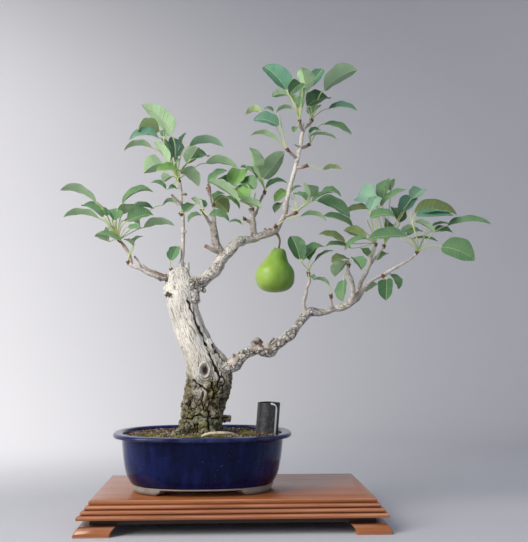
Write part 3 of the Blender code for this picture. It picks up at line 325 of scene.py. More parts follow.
def refinish(node, finish):
    """Gives a node of the model, which keeps its shape, a finish of its own."""
    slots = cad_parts[node].data.materials
    slots.clear()
    slots.append(finish)


def piece_of(name, shape, finishes, nodes):
    """A finished piece made from a shape, in place of the model's nodes."""
    return piece_from(name, mesh_from(name, shape), finishes, nodes)


def piece_from(name, mesh, finishes, nodes):
    for finish in finishes:
        mesh.materials.append(finish)
    mesh.shade_smooth()
    mesh.set_sharp_from_angle(angle=SHARPER_THAN)
    piece = placed(name, mesh)
    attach(piece, "root")
    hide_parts(*nodes)
    return piece


def mark(mesh, **told):
    """Stores a number per vertex under each name, for the finish to read."""
    for name, values in told.items():
        layer = mesh.attributes.new(name, "FLOAT", "POINT")
        layer.data.foreach_set("value", np.asarray(values, np.float32))


panel_low, panel_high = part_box("stand_panel")
panel_low.z = panel_high.z - STEP_DOWN
PANEL_EDGE = (  # (in from the panel's side, height)
    (0.6 * MM, panel_low.z), (0.0, panel_low.z + 1.4 * MM), (0.0, panel_high.z - 2.4 * MM),
    (0.35 * MM, panel_high.z - 1.2 * MM), (0.95 * MM, panel_high.z - 0.35 * MM), (1.8 * MM, panel_high.z),
)
shape = bmesh.new()
rings = []
for inset, level in PANEL_EDGE:
    low = panel_low + Vector((inset, inset, 0.0))
    high = panel_high - Vector((inset, inset, 0.0))
    across = [low.x + (high.x - low.x) * i / 24 for i in range(25)]
    deep = [low.y + (high.y - low.y) * i / 14 for i in range(15)]
    ring = [(x, low.y, level) for x in across[:-1]] + [(high.x, y, level) for y in deep[:-1]]
    ring += [(x, high.y, level) for x in across[:0:-1]] + [(low.x, y, level) for y in deep[:0:-1]]
    rings.append(ring)
skin(shape, rings)
panel = piece_of("panel", shape, [GRAIN_ALONG], ["stand_panel"])
heights = np.array([v.co.z for v in panel.data.vertices])
rim = (heights > panel_high.z - 1.5 * MM) & (heights < panel_high.z - 0.1 * MM)
# the panel's foot, where it sits in the moulding, gets painted shade
mark(panel.data, arris=rim * 0.9, groove=(heights < panel_low.z + MM) * 0.6)

# One length of moulding: (outwards from the panel's edge, down from its top, arris, painted shade in its
# groove)
TREAD = (  # one step of it, in mm
    (0.3, 0.1, 0.0, 0.9), (1.6, 0.35, 0.15, 0.2), (3.0, 0.9, 0.6, 0.0), (4.0, 1.8, 1.0, 0.0),
    (4.45, 2.9, 0.7, 0.0), (4.5, 4.1, 0.2, 0.0), (4.2, 5.1, 0.1, 0.3), (3.2, 5.75, 0.0, 1.0),
)
MOULDING = [(-0.3 * MM, 0.0, 0.2, 0.6)]
for step in range(3):
    out, down = STEP_OUT * step, STEP_DOWN * step
    MOULDING += [(out + x * MM, down + z * MM, arris, groove) for x, z, arris, groove in TREAD]
MOULDING[-1] = (14.4 * MM, 17.9 * MM, 0.2, 0.3)
MOULDING += [(-24.0 * MM, 17.9 * MM, 0.0, 0.9), (-24.0 * MM, 0.0, 0.0, 0.9)]
rail_arris, rail_groove_shade = ([point[k] for point in MOULDING] * RAIL_RINGS for k in (2, 3))
panel_mid = (panel_low + panel_high) / 2
panel_half = (panel_high - panel_low) / 2
rail_top = panel_low.z - 0.05 * MM
for name, outward, finish in (
    ("front", (0, -1), GRAIN_ALONG), ("back", (0, 1), GRAIN_ALONG),
    ("left", (-1, 0), GRAIN_ACROSS), ("right", (1, 0), GRAIN_ACROSS),
):
    way = Vector((*outward, 0.0))
    along = Vector((-way.y, way.x, 0.0))
    reach = abs(way.x) * panel_half.x + abs(way.y) * panel_half.y
    half = abs(along.x) * panel_half.x + abs(along.y) * panel_half.y
    rings = []
    for share in [i / (RAIL_RINGS - 1) * 2 - 1 for i in range(RAIL_RINGS)]:
        ring = []
        for out, down, _, _ in MOULDING:
            place = panel_mid + way * (reach + out) + along * share * (half + out - MITRE)
            wander = noise.noise(Vector((share * 9 + out * 500, down * 300, reach * 7))) * 0.12 * MM
            ring.append((place.x, place.y, rail_top - down + wander))
        rings.append(ring)
    shape = bmesh.new()
    skin(shape, rings)
    rail = piece_of(name + "_moulding", shape, [finish], [name + "_rail"])
    mark(rail.data, arris=rail_arris, groove=rail_groove_shade)

# A foot: (share of its height, how far it flares, how long its legs are) up the bracket
FOOT_RISE = (
    (0.0, 0.98, 1.0), (0.04, 1.0, 0.995), (0.14, 0.99, 0.99), (0.28, 0.93, 0.985), (0.42, 0.83, 0.985),
    (0.56, 0.68, 0.985), (0.7, 0.5, 0.99), (0.85, 0.27, 0.995), (1.0, 0.0, 1.0),
)
# how pale each edge round the bracket's plan is painted: partly wear, partly a painted highlight
FOOT_WEAR_AND_HIGHLIGHT = (0.5, 0.2, 0.9, 0.9, 0.0, 0.0, 0.0, 0.9, 0.9, 0.2, 0.5)  # round the bracket's plan
for back in (-1, 1):
    for right in (-1, 1):
        name = ("front" if back < 0 else "back") + ("_left" if right < 0 else "_right") + "_foot"
        foot_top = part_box(name)[1].z
        rings = []
        for share, flare, leg in FOOT_RISE:
            out = FOOT_OUT + FOOT_FLARE * flare
            x, y = panel_half.x + out, panel_half.y + out
            length = FOOT_LEG * leg
            ease = FOOT_ROUNDING
            plan = (
                (x - ease, y), (x - length * 0.5, y), (x - length + ease, y), (x - length, y - ease),
                (x - length, y - FOOT_THICK), (x - FOOT_THICK, y - FOOT_THICK),
                (x - FOOT_THICK, y - length), (x - ease, y - length), (x, y - length + ease),
                (x, y - length * 0.5), (x, y - ease),
            )
            corners = [(panel_mid.x + right * a, panel_mid.y + back * b) for a, b in plan]
            rings.append([(*corner, foot_top * share) for corner in corners])
        shape = bmesh.new()
        skin(shape, rings)
        foot = piece_of(name + "_bracket", shape, [GRAIN_ALONG], [name])
        # per row of the foot: how pale its edges are painted, and painted shade at the top where it goes
        # under the moulding
        rows = [(1.0 if share < 0.1 else 0.25, 0.8 if share > 0.9 else 0.0) for share, _, _ in FOOT_RISE]
        arris = [max(edge_wear_and_highlight, row) * row for row, _ in rows for edge_wear_and_highlight in FOOT_WEAR_AND_HIGHLIGHT]
        mark(foot.data, arris=arris, groove=[top for _, top in rows for _ in FOOT_WEAR_AND_HIGHLIGHT])

refinish("under_frame", UNDER_WOOD)


# ---------------------------------------------------------------- pot
# Stoneware in a deep cobalt glaze, an oval with a turned-out lip. The glaze runs dark red at the ends
# low down and stops short of the foot, where the bare clay shows. Four low bracket feet lift it.

GLAZE_SHARE = 2.5  # exponent of the plan: 2 is an ellipse, more is boxier
POT_HALF = (pot_high.x - pot_low.x) / 2
POT_DEEP = (pot_high.y - pot_low.y) / 2
POT_TALL = LIP_TOP - POT_BASE
LIP_THICK, LIP_WIDE, LIP_REACH, FOOT_TALL = 7 * MM, 15 * MM, 5.5 * MM, 9 * MM
POT_FLOOR = 9 * MM


def oval(half, level, count=168, exponent=GLAZE_SHARE):
    """A ring of the pot's plan, that far out along its length and as much less in depth."""
    ring = []
    for i in range(count):
        angle = 2 * math.pi * i / count
        c, s = math.cos(angle), math.sin(angle)
        x = half * math.copysign(abs(c) ** (2 / exponent), c)
        y = (half - POT_HALF + POT_DEEP) * math.copysign(abs(s) ** (2 / exponent), s)
        ring.append(POT_AT + Vector((x, y, level)))
    return ring


def curved(points, steps):
    """Points along a Catmull-Rom curve through the given ones, of any dimension."""
    ends = [points[0]] + list(points) + [points[-1]]
    curve = []
    for a, b, c, d in zip(ends, ends[1:], ends[2:], ends[3:]):
        for step in range(steps):
            t = step / steps
            curve.append(
                tuple(
                    0.5 * (2 * q + (r - p) * t + (2 * p - 5 * q + 4 * r - s) * t**2
                           + (3 * q - p - 3 * r + s) * t**3)
                    for p, q, r, s in zip(a, b, c, d)
                )
            )
    curve.append(tuple(points[-1]))
    return curve


body_half = POT_HALF - LIP_REACH - 7.5 * MM
body_base = FOOT_TALL * 0.9
body_tall = POT_TALL - LIP_THICK - body_base
BELLY = (
    (0.860, 0.0), (0.875, 0.008), (0.879, 0.018), (0.875, 0.026), (0.871, 0.034), (0.877, 0.045),
    (0.898, 0.10), (0.923, 0.18), (0.946, 0.29), (0.963, 0.42), (0.977, 0.58), (0.989, 0.76), (1.0, 0.97),
)
outside = [(0.5 * body_half, body_base), (0.8 * body_half, body_base)]
outside += [(body_half * wide, body_base + body_tall * high) for wide, high in curved(BELLY, 3)]
lip_base = POT_TALL - LIP_THICK
LIP = (
    (body_half + 0.8 * MM, lip_base - 1.0 * MM), (body_half + 3 * MM, lip_base + 0.1 * MM),
    (POT_HALF - 3.0 * MM, lip_base + 0.5 * MM), (POT_HALF - 0.9 * MM, lip_base + 1.4 * MM),
    (POT_HALF - 0.1 * MM, lip_base + 3.2 * MM), (POT_HALF - 0.7 * MM, POT_TALL - 1.6 * MM),
    (POT_HALF - 2.6 * MM, POT_TALL - 0.4 * MM), (POT_HALF - 6 * MM, POT_TALL - 0.1 * MM),
    (POT_HALF - LIP_WIDE + 2.5 * MM, POT_TALL - 0.2 * MM),
    (POT_HALF - LIP_WIDE + 0.6 * MM, POT_TALL - 1.4 * MM),
)
outside += curved(LIP, 3)
inner = POT_HALF - LIP_WIDE
inside_tall = POT_TALL - body_base - POT_FLOOR
for less, high in ((0.2, 0.93), (1.2, 0.8), (3.2, 0.6), (9, 0.22), (17, 0.02)):
    outside.append((inner - less * MM, POT_TALL - inside_tall * (1 - high)))
shape = bmesh.new()
skin(shape, [oval(half, POT_BASE + high) for half, high in outside])

# A foot: a bracket under the rim of the base, from one angle of the plan to another, as rings of
# (out along the base, up the foot), whose ends sweep up to the base
BRACKET = (
    (0.866, 1.25), (0.876, 0.9), (0.870, 0.45), (0.852, 0.08), (0.835, 0.0), (0.70, 0.0),
    (0.68, 0.12), (0.68, 1.25),
)
for quarter in range(4):
    flip_x = -1 if quarter in (1, 2) else 1
    flip_y = -1 if quarter in (2, 3) else 1
    rings = []
    for i in range(25):
        share = i / 24
        angle = math.radians(16 + 46 * share)
        low = max(0.0, 1 - min(share, 1 - share) / 0.16) ** 1.6 * FOOT_TALL * 0.85
        ring = []
        for out, up in BRACKET:
            half = body_half * out
            x = half * math.cos(angle) ** (2 / GLAZE_SHARE)
            y = (half - POT_HALF + POT_DEEP) * math.sin(angle) ** (2 / GLAZE_SHARE)
            ring.append(POT_AT + Vector((flip_x * x, flip_y * y, POT_BASE + max(low, up * FOOT_TALL))))
        rings.append(ring)
    skin(shape, rings)
bmesh.ops.recalc_face_normals(shape, faces=shape.faces)
bmesh.ops.subdivide_edges(shape, edges=[e for e in shape.edges if e.calc_length() > 14 * MM], cuts=1)

glaze = Finish("cobalt_glaze", {"IOR": 1.5, "Specular IOR Level": 0.12, "Coat Roughness": 0.04})
across = abs(glaze.axis("X") - POT_AT.x) / POT_HALF
height = glaze.axis("Z")
drift = glaze.cloud(EVEN, 24.0, 3.0)
streak = glaze.cloud((70.0, 70.0, 9.0), 1.0, 4.0)
bare_line = POT_BASE + body_base + body_tall * 0.040
bare = 1 - (height + (drift - 0.5) * 1.2 * MM).between(bare_line - 0.35 * MM, bare_line + 0.35 * MM)
thin_at = (1 - height.between(POT_BASE + 13 * MM, POT_BASE + 36 * MM)) * across.between(0.45, 0.9)
lip_edge = height.between(LIP_TOP - 8 * MM, LIP_TOP - 6.5 * MM)
thin_rim = glaze.cloud(EVEN, 60.0, 3.0).between(0.35, 0.7)
pinholes = glaze.cloud(EVEN, 520.0, 1.0).between(0.72, 0.76)
deep_blue = glaze.over(
    glaze.ramp(
        streak * 0.5 + drift * 0.5,
        (0.3, (0.0012, 0.0024, 0.014)), (0.5, (0.0026, 0.005, 0.036)), (0.72, (0.009, 0.017, 0.11)),
    ),
    # lighter blue towards both ends: partly thinner glaze, partly a painted reflection of the windows
    (across.between(0.35, 0.95) * streak.between(0.3, 0.6) * 0.5, (0.014, 0.026, 0.13)),
    (thin_at * (drift * 0.9 + 0.35), (0.034, 0.006, 0.012)),
    (lip_edge * (0.12 + thin_rim * 0.42), (0.045, 0.06, 0.15)),
    (pinholes * 0.25, (0.2, 0.22, 0.3)),
)
grit = glaze.cloud(EVEN, 900.0, 2.0)
stain = glaze.cloud(EVEN, 60.0, 3.0).between(0.45, 0.7)
clay = glaze.over((0.20, 0.175, 0.145), (grit, (0.34, 0.31, 0.27)), (stain * 0.5, (0.16, 0.13, 0.11)))
glaze.feed(glaze.shader.inputs["Coat Weight"], (1 - bare) * across.between(0.5, 0.85) * 0.45)
GLAZE = glaze.show(
    glaze.blend(bare, deep_blue, clay), 0.07 + bare * 0.6 + lip_edge * 0.1,
    bare * grit * 0.5 + drift * 0.35 + (1 - bare) * 0.5, 0.5 * MM,
)
piece_of("glazed_pot", shape, [GLAZE], ["pot"])

screen = Finish("drain_mesh", {})
black = screen.blend(screen.cloud(EVEN, 300.0), (0.01, 0.01, 0.01), (0.05, 0.045, 0.04))
SCREEN_FINISH = screen.show(black, 0.6)
for name in ("left_drain_screen", "right_drain_screen"):
    refinish(name, SCREEN_FINISH)


# ---------------------------------------------------------------- soil
# A free-draining mix: fine dark loam between baked clay and pumice grains of 1 to 4 mm, mounded a
# little to the trunk. Dark grains of bark lie among them.

SOIL_LEVEL = LIP_TOP - 5 * MM
GRAINS, SOIL_RINGS = 5200, 34
dice = random.Random(7)


def mound(x, y):
    """Height of the soil's surface at a place in the pot, from the pot's middle."""
    out = math.hypot(x / (POT_HALF - LIP_WIDE), y / (POT_DEEP - LIP_WIDE))
    rise = 5.0 * MM * max(0.0, 1 - out) ** 0.9
    lumps = noise.noise(Vector((x, y, 0.3)) * 45) * 1.8 + noise.noise(Vector((x, y, 0.9)) * 160) * 0.9
    return SOIL_LEVEL - 1.0 * MM + rise + lumps * MM


PEBBLE = bmesh.new()
bmesh.ops.create_icosphere(PEBBLE, subdivisions=1, radius=1.0)
PEBBLE_POINTS = [vert.co.copy() for vert in PEBBLE.verts]
PEBBLE_FACES = [[vert.index for vert in face.verts] for face in PEBBLE.faces]
PEBBLE.free()


def grain(shape, place, size, finish):
    """One rough pebble, turned at random."""
    turn = Quaternion((dice.random() - 0.5, dice.random() - 0.5, dice.random() - 0.5), dice.random() * 6)
    spots = []
    for point in PEBBLE_POINTS:
        rough = point * size * dice.uniform(0.75, 1.15)
        rough.z *= 0.75
        rough.rotate(turn)
        spots.append(shape.verts.new(rough + place))
    for corners in PEBBLE_FACES:
        shape.faces.new([spots[i] for i in corners]).material_index = finish


shape = bmesh.new()
rings = []
wall = [point - POT_AT for point in oval(POT_HALF - LIP_WIDE - 0.6 * MM, 0.0)]
for share in [i / SOIL_RINGS for i in range(1, SOIL_RINGS + 1)]:
    spots = [(p.x * share, p.y * share) for p in wall]
    rings.append([POT_AT + Vector((x, y, mound(x, y))) for x, y in spots])
rings.append([POT_AT + Vector((p.x * 0.96, p.y * 0.96, SOIL_LEVEL - 8 * MM)) for p in wall])
skin(shape, rings)
laid = 0
while laid < GRAINS:
    x = dice.uniform(-1, 1) * (POT_HALF - LIP_WIDE - 2 * MM)
    y = dice.uniform(-1, 1) * (POT_DEEP - LIP_WIDE - 2 * MM)
    out_x, out_y = x / (POT_HALF - LIP_WIDE - 1.5 * MM), y / (POT_DEEP - LIP_WIDE - 1.5 * MM)
    edge = abs(out_x) ** GLAZE_SHARE + abs(out_y) ** GLAZE_SHARE
    if edge > 1:
        continue
    size = dice.choice((0.5, 0.7, 0.7, 0.9, 1.1, 1.4, 1.9)) * MM
    place = POT_AT + Vector((x, y, mound(x, y) + size * 0.25))
    grain(shape, place, size, dice.choice((1, 1, 1, 2, 2, 3)))
    laid += 1


def earth(name, dark, light, scale):
    ground = Finish(name, {"Specular IOR Level": 0.25})
    crumbs = ground.cloud(EVEN, scale, 5.0, 0.7)
    damp = ground.cloud(EVEN, 35.0, 2.0)
    colour = ground.blend((crumbs * 0.8 + damp * 0.3).between(0.3, 0.8), dark, light)
    return ground.show(colour, 0.92 - damp * 0.1, crumbs, 0.8 * MM)


LOAM = earth("loam", (0.018, 0.011, 0.007), (0.12, 0.075, 0.045), 420.0)
BAKED = earth("baked_clay_grain", (0.10, 0.055, 0.03), (0.26, 0.16, 0.10), 700.0)
DARK_GRAIN = earth("bark_grain", (0.02, 0.014, 0.01), (0.10, 0.07, 0.05), 700.0)
PUMICE = earth("pumice_grain", (0.26, 0.23, 0.19), (0.52, 0.48, 0.42), 900.0)
piece_of("soil_surface", shape, [LOAM, BAKED, DARK_GRAIN, PUMICE], ["soil"])


# ---------------------------------------------------------------- moss and surface root
# Cushions of short upright moss on the damp soil, and one bare pale root that runs along the front
# just at the surface. Both lie on the soil.

moss_tone = Finish("moss_green", {"Specular IOR Level": 0.3})
patch = moss_tone.cloud(EVEN, 70.0, 3.0)
MOSS_COLOUR = moss_tone.over(
    (0.055, 0.042, 0.018),
    (patch.between(0.35, 0.62), (0.13, 0.145, 0.03)),
    (moss_tone.carried("tip") * patch.between(0.3, 0.7), (0.36, 0.37, 0.09)),
)
MOSS = moss_tone.show(MOSS_COLOUR, 0.85)
CUSHION_SIDES = 18

TUFTS = {  # each cushion: (x, y, radius) in mm from the pot's middle, and its count of blades
    "moss_left": (((-96, -40, 9), (-84, -48, 8), (-74, -30, 11), (-92, -22, 8), (-62, -44, 7)), 420),
    "moss_front": (((-22, -64, 9), (-4, -58, 12), (12, -64, 10), (26, -56, 8), (-36, -54, 6)), 420),
    "moss_right": (((60, -20, 7), (70, -8, 9), (66, 6, 6), (74, -22, 6)), 380),
}
for name, (cushions, blades) in TUFTS.items():
    shape = bmesh.new()
    tips = []
    for cx, cy, wide in cushions:
        def spot_at(angle, reach, lift):
            x, y = (cx + reach * math.cos(angle)) * MM, (cy + 0.75 * reach * math.sin(angle)) * MM
            return POT_AT + Vector((x, y, mound(x, y) + lift * MM))

        turns = [2 * math.pi * i / CUSHION_SIDES for i in range(CUSHION_SIDES)]
        lumps = [1 + 0.7 * noise.noise(Vector((2 * math.cos(a), 2 * math.sin(a), cx))) for a in turns]
        layers = ((1.0, -0.8), (0.8, 0.3), (0.5, 1.0), (0.2, 1.3))
        skin(shape, [
            [spot_at(a, wide * share * lump, lift * wide / 10) for a, lump in zip(turns, lumps)]
            for share, lift in layers
        ])
        tips += [0.0] * (len(layers) * CUSHION_SIDES)
        for _ in range(blades):
            angle, reach = dice.uniform(0, 2 * math.pi), math.sqrt(dice.random()) * wide
            root = spot_at(angle, reach, 1.2 * (1 - (reach / wide) ** 2) * wide / 10)
            lean = Vector((dice.uniform(-1, 1), dice.uniform(-1, 1), 1.6)).normalized()
            side = lean.orthogonal().normalized() * 0.35 * MM
            other = lean.cross(side).normalized() * 0.35 * MM
            top = shape.verts.new(root + lean * dice.uniform(1.4, 3.2) * MM)
            feet = [shape.verts.new(root + push) for push in (side, other - side, -other - side)]
            for i in range(3):
                shape.faces.new((feet[i], feet[(i + 1) % 3], top))
            tips += [1.0, 0.0, 0.0, 0.0]
    shape.verts.index_update()
    cushion = piece_of(name + "_tufts", shape, [MOSS], [name])
    mark(cushion.data, tip=tips)


def tube(shape, path, sides=12, turn=0.0):
    """A closed round skin along (place, radius) pairs."""
    rings = []
    places = [place for place, _ in path]
    ways = [(b - a).normalized() for a, b in zip(places, places[1:])]
    ways = [ways[0]] + [(a + b).normalized() for a, b in zip(ways, ways[1:])] + [ways[-1]]
    side = ways[0].orthogonal().normalized()
    for (place, radius), way in zip(path, ways):
        side = (side - way * side.dot(way)).normalized()
        over = way.cross(side)
        angles = [2 * math.pi * i / sides + turn for i in range(sides)]
        rings.append([place + (side * math.cos(a) + over * math.sin(a)) * radius for a in angles])
    skin(shape, rings)


def stem_path(points, steps):
    """(place, radius) pairs along (x, z, depth, radius) points."""
    return [(seen(x, z, depth), radius * MM) for x, z, depth, radius in curved(points, steps)]


bare_root = Finish("bare_root", {"Specular IOR Level": 0.3})
fibre = bare_root.cloud((120.0, 700.0, 700.0), 1.0, 4.0)
spots = bare_root.cloud(EVEN, 220.0, 3.0).between(0.52, 0.66)
colour = bare_root.over((0.34, 0.26, 0.17), (fibre, (0.74, 0.66, 0.50)), (spots * 0.6, (0.10, 0.065, 0.04)))
PALE_ROOT = bare_root.show(colour, 0.8, fibre, 0.7 * MM)
ROOT_LINE = (
    (-2, 122.5, -66, 1.6), (4, 125.2, -69, 2.3), (16, 127, -71, 2.6), (30, 127.4, -72, 2.4),
    (42, 126.4, -70, 2.2), (50, 124, -67, 1.7), (55, 121.8, -65, 1.0),
)
shape = bmesh.new()
tube(shape, stem_path(ROOT_LINE, 8), 14)
for vert in shape.verts:
    vert.co.z += noise.noise(vert.co * 320) * 0.35 * MM
piece_of("surface_root", shape, [PALE_ROOT], ["pale_root"])


# ---------------------------------------------------------------- rolled sleeve
# A strip of black plastic sheeting, rolled a little over once and pushed into the soil, with one
# cut edge showing white where it laps. It holds a grower's label.

sleeve_low, sleeve_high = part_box("rolled_sleeve")
SLEEVE_RADIUS, SLEEVE_SHEET = 19.3 * MM, 1.2 * MM
SLEEVE_AT = Vector(((sleeve_low.x + sleeve_high.x) / 2 + 1 * MM, (sleeve_low.y + sleeve_high.y) / 2, 0.0))
SLEEVE_TURNS, FREE_EDGE, LEAN = 1.14, 0.62, 0.075
sheeting = Finish("black_sheeting", {"IOR": 1.49})
dust = sheeting.cloud(EVEN, 120.0, 4.0, 0.7)
scuffs = sheeting.cloud((900.0, 900.0, 120.0), 1.0, 2.0).between(0.62, 0.7)
low_dust = 1 - sheeting.axis("Z").between(SOIL_LEVEL, SOIL_LEVEL + 7 * MM)
colour = sheeting.over(
    (0.018, 0.019, 0.022),
    (dust.between(0.45, 0.75) * 0.5 + scuffs * 0.25, (0.13, 0.13, 0.13)),
    (low_dust * dust * 0.8, (0.12, 0.08, 0.05)),
    (sheeting.carried("cut_edge"), (0.80, 0.80, 0.78)),
)
SHEETING = sheeting.show(colour, 0.36 + dust * 0.25, dust, 0.15 * MM)
shape = bmesh.new()
rings = []
edges = []
TURN_STEPS, RISE_STEPS = 170, 36
CORNER, WHITE_WIDE = 11 * MM, 2.8 * MM
sheet_long = 2 * math.pi * SLEEVE_RADIUS * SLEEVE_TURNS
sleeve_tall = sleeve_high.z - sleeve_low.z
for j in range(RISE_STEPS + 1):
    up = j / RISE_STEPS
    ring = []
    for skin_side, spots in enumerate((range(TURN_STEPS + 1), range(TURN_STEPS, -1, -1))):
        for i in spots:
            share = i / TURN_STEPS
            angle = FREE_EDGE - 2 * math.pi * SLEEVE_TURNS * share
            radius = SLEEVE_RADIUS + 0.8 * MM - 3.4 * MM * min(1.0, share * 1.6) - SLEEVE_SHEET * skin_side
            # the free edge's top corner is cut round, and the mouth is not quite level
            in_corner = max(0.0, 1 - share * sheet_long / CORNER)
            corner = CORNER * (1 - math.sqrt(1 - in_corner * in_corner))
            top = sleeve_tall - corner - 0.5 * MM + 0.4 * MM * math.sin(angle * 2 + 1)
            lift = top * up
            lean = (sleeve_low.z + lift - (sleeve_low.z + sleeve_high.z) / 2) * LEAN
            place = SLEEVE_AT + Vector((math.sin(angle) * radius + lean, -math.cos(angle) * radius, 0.0))
            ring.append(Vector((place.x, place.y, sleeve_low.z + lift)))
            near_side = share * sheet_long < WHITE_WIDE
            near_top = in_corner > 0 and top - lift < WHITE_WIDE
            edges.append(1.0 if near_side or near_top else 0.0)
    rings.append(ring)
skin(shape, rings, caps=False)
count = 2 * (TURN_STEPS + 1)
shape.verts.ensure_lookup_table()
for base in (0, RISE_STEPS * count):
    for i in range(TURN_STEPS):
        corners = (base + i, base + i + 1, base + count - 2 - i, base + count - 1 - i)
        shape.faces.new([shape.verts[corner] for corner in corners])
sleeve = piece_of("label_sleeve", shape, [SHEETING], ["rolled_sleeve"])
mark(sleeve.data, cut_edge=edges)


# ---------------------------------------------------------------- trunk
# An old trunk, barkless and bleached cream and grey above, split down the front by long cracks, with
# a healed knot. Below it dark, blocky bark remains, mossed in its hollows, down to the spread roots.

TRUNK = (  # (z, left, right, half depth, depth of its middle) up the trunk
    (114, -33, 27, 25, 2), (128, -36, 27, 26, 1), (138, -35, 28, 25, 0), (150, -34, 29, 23, 0),
    (162, -33, 31, 22, 0), (176, -31, 35, 22, 0), (190, -28, 39, 23, 0), (205, -26, 42, 23, 0),
    (218, -26, 43, 22, 0), (230, -26.5, 41, 21, 1), (241, -28, 35, 20, 1), (252, -33, 25, 19, 2),
    (264, -38, 15, 18, 2), (280, -43, 6, 17, 2), (300, -50, -3, 16, 2), (318, -55, -9, 16, 1),
    (334, -58, -11, 16, 0), (347, -63, -8, 16, 0), (358, -60, -9, 15, 0), (367, -59, -20, 13, 0),
    (375, -55, -25, 10, 1), (382, -47, -27, 7, 2),
)
# Stems that spread from the trunk's foot: (x, z, depth, radius) from inside the trunk outwards
SURFACE_ROOTS = (
    ((12, 146, -4, 7), (26, 149, -8, 5.5), (41, 149, -9, 4.5)),
    ((-12, 138, -12, 9), (-30, 130, -26, 7), (-45, 122, -34, 5), (-56, 116, -40, 3)),
    ((4, 136, -16, 9), (10, 131, -30, 7), (18, 124, -42, 5), (24, 116, -50, 3)),
    ((18, 134, 4, 9), (34, 128, 12, 6), (48, 121, 18, 4), (58, 115, 22, 3)),
    ((-16, 134, 10, 9), (-34, 130, 24, 7), (-48, 122, 34, 4), (-56, 115, 40, 3)),
    ((-4, 158, -17, 6), (2, 150, -24, 7), (4, 140, -26, 7), (-2, 130, -26, 6)),
    ((10, 182, -16, 6), (16, 168, -21, 6.5), (19, 155, -21, 6.5), (21, 142, -19, 6)),
)
CRACK = ((-26, 333), (-20, 315), (-12, 297), (-4, 279), (4, 258), (11, 240), (20, 226), (27, 212))
CRACK_WIDTH = 2.1
KNOT_HOLE = (2, 223, 7, 10)  # x, z, half-width, half-height
SECOND_CRACK = ((13, 262), (19, 252), (26, 243), (32, 232), (37, 221))
BARK_GAPS = (  # deep clefts between the plates and roots, each with its width
    (((8, 158), (7, 146), (8, 132), (12, 116)), 4.2), (((-36, 150), (-22, 149), (-6, 155), (6, 151)), 2.4),
    (((8, 151), (22, 150), (38, 152)), 2.8), (((-14, 208), (-4, 198), (10, 190)), 2.2),
    (((16, 232), (24, 214), (22, 196)), 2.6), (((24, 226), (32, 208), (30, 188), (26, 170)), 2.4),
    (((-26, 188), (-20, 176), (-24, 164)), 2.0), (((0, 190), (-4, 176), (2, 160)), 2.0),
    (((12, 205), (16, 186), (12, 170)), 2.0),
)
SPLINTERS = (
    ((-41, 368, 0, 6), (-38, 380, 1, 5), (-36, 390, 2, 3), (-34.5, 398, 2, 0.9)),
    ((-29, 366, 1, 4.5), (-27, 378, 0, 3), (-26.5, 386, 0, 2.2), (-26, 391, 0, 1.4)),
    ((-33, 368, 2, 4), (-31, 380, 3, 3), (-30, 389, 3, 1.2)),
    ((-48, 366, 3, 5), (-46, 374, 3, 3.4), (-45, 380, 3, 1.5)),
    ((-50, 344, -4, 6), (-57, 348, -5, 5), (-62, 351, -5, 3.6)),
    ((-17, 345, -8, 6), (-14, 336, -9, 5.5), (-12.5, 328, -10, 4.6)),
    ((-7, 352, -8, 4), (-1, 347, -8, 3), (1, 344, -8, 1.5)),
    ((6, 270, -13, 4), (11, 262, -14, 5), (15, 254, -14, 2.5)),
)
TRUNK_VOXEL, LIMB_VOXEL = 0.95 * MM, 0.85 * MM
noise.seed_set(7)  # left unset, the bark's sway would come from the clock


def as_seen(point):
    """The (x, z, depth) that seen() would take to that place."""
    share = (point.y - FRONT_VIEW.y) / (POT_AT.y - FRONT_VIEW.y)
    there = FRONT_VIEW + (point - Vector((0.0, 0.0, TREE_LIFT)) - FRONT_VIEW) / share - POT_AT
    return there.x / MM, there.z / MM, (point.y - POT_AT.y) / MM


def smooth(value, low, high):
    share = max(0.0, min(1.0, (value - low) / (high - low)))
    return share * share * (3 - 2 * share)


def off_line(x, z, line):
    """How far (x, z) lies from a line of points."""
    nearest = 1e9
    for (ax, az), (bx, bz) in zip(line, line[1:]):
        run, rise = bx - ax, bz - az
        share = max(0.0, min(1.0, ((x - ax) * run + (z - az) * rise) / (run * run + rise * rise)))
        nearest = min(nearest, math.hypot(x - ax - run * share, z - az - rise * share))
    return nearest


def fused(shape, voxel, rounds):
    """One closed skin round everything in the shape."""
    rough = placed("rough", mesh_from("rough", shape))
    wrap = rough.modifiers.new("wrap", "REMESH")
    wrap.mode = "VOXEL"
    wrap.voxel_size = voxel
    soften = rough.modifiers.new("soften", "SMOOTH")
    soften.iterations = rounds
    graph = bpy.context.evaluated_depsgraph_get()
    whole = bpy.data.meshes.new_from_object(rough.evaluated_get(graph))
    bpy.data.objects.remove(rough)
    return whole


shape = bmesh.new()
rings = []
for z, left, right, half_depth, middle in curved(TRUNK, 3):
    ring = []
    for i in range(48):
        angle = 2 * math.pi * i / 48
        c, s = math.cos(angle), math.sin(angle)
        lump = 1 + 0.09 * noise.noise(Vector((2.2 * c, 2.2 * s, z * 0.025)))
        reach = 1 + (lump - 1) * abs(s)
        x = (left + right) / 2 + (right - left) / 2 * c * reach
        ring.append(seen(x, z, middle + half_depth * s * lump))
    rings.append(ring)
skin(shape, rings)
for path in SURFACE_ROOTS + SPLINTERS:
    tube(shape, stem_path(path, 6), 16)
trunk_mesh = fused(shape, TRUNK_VOXEL, 2)


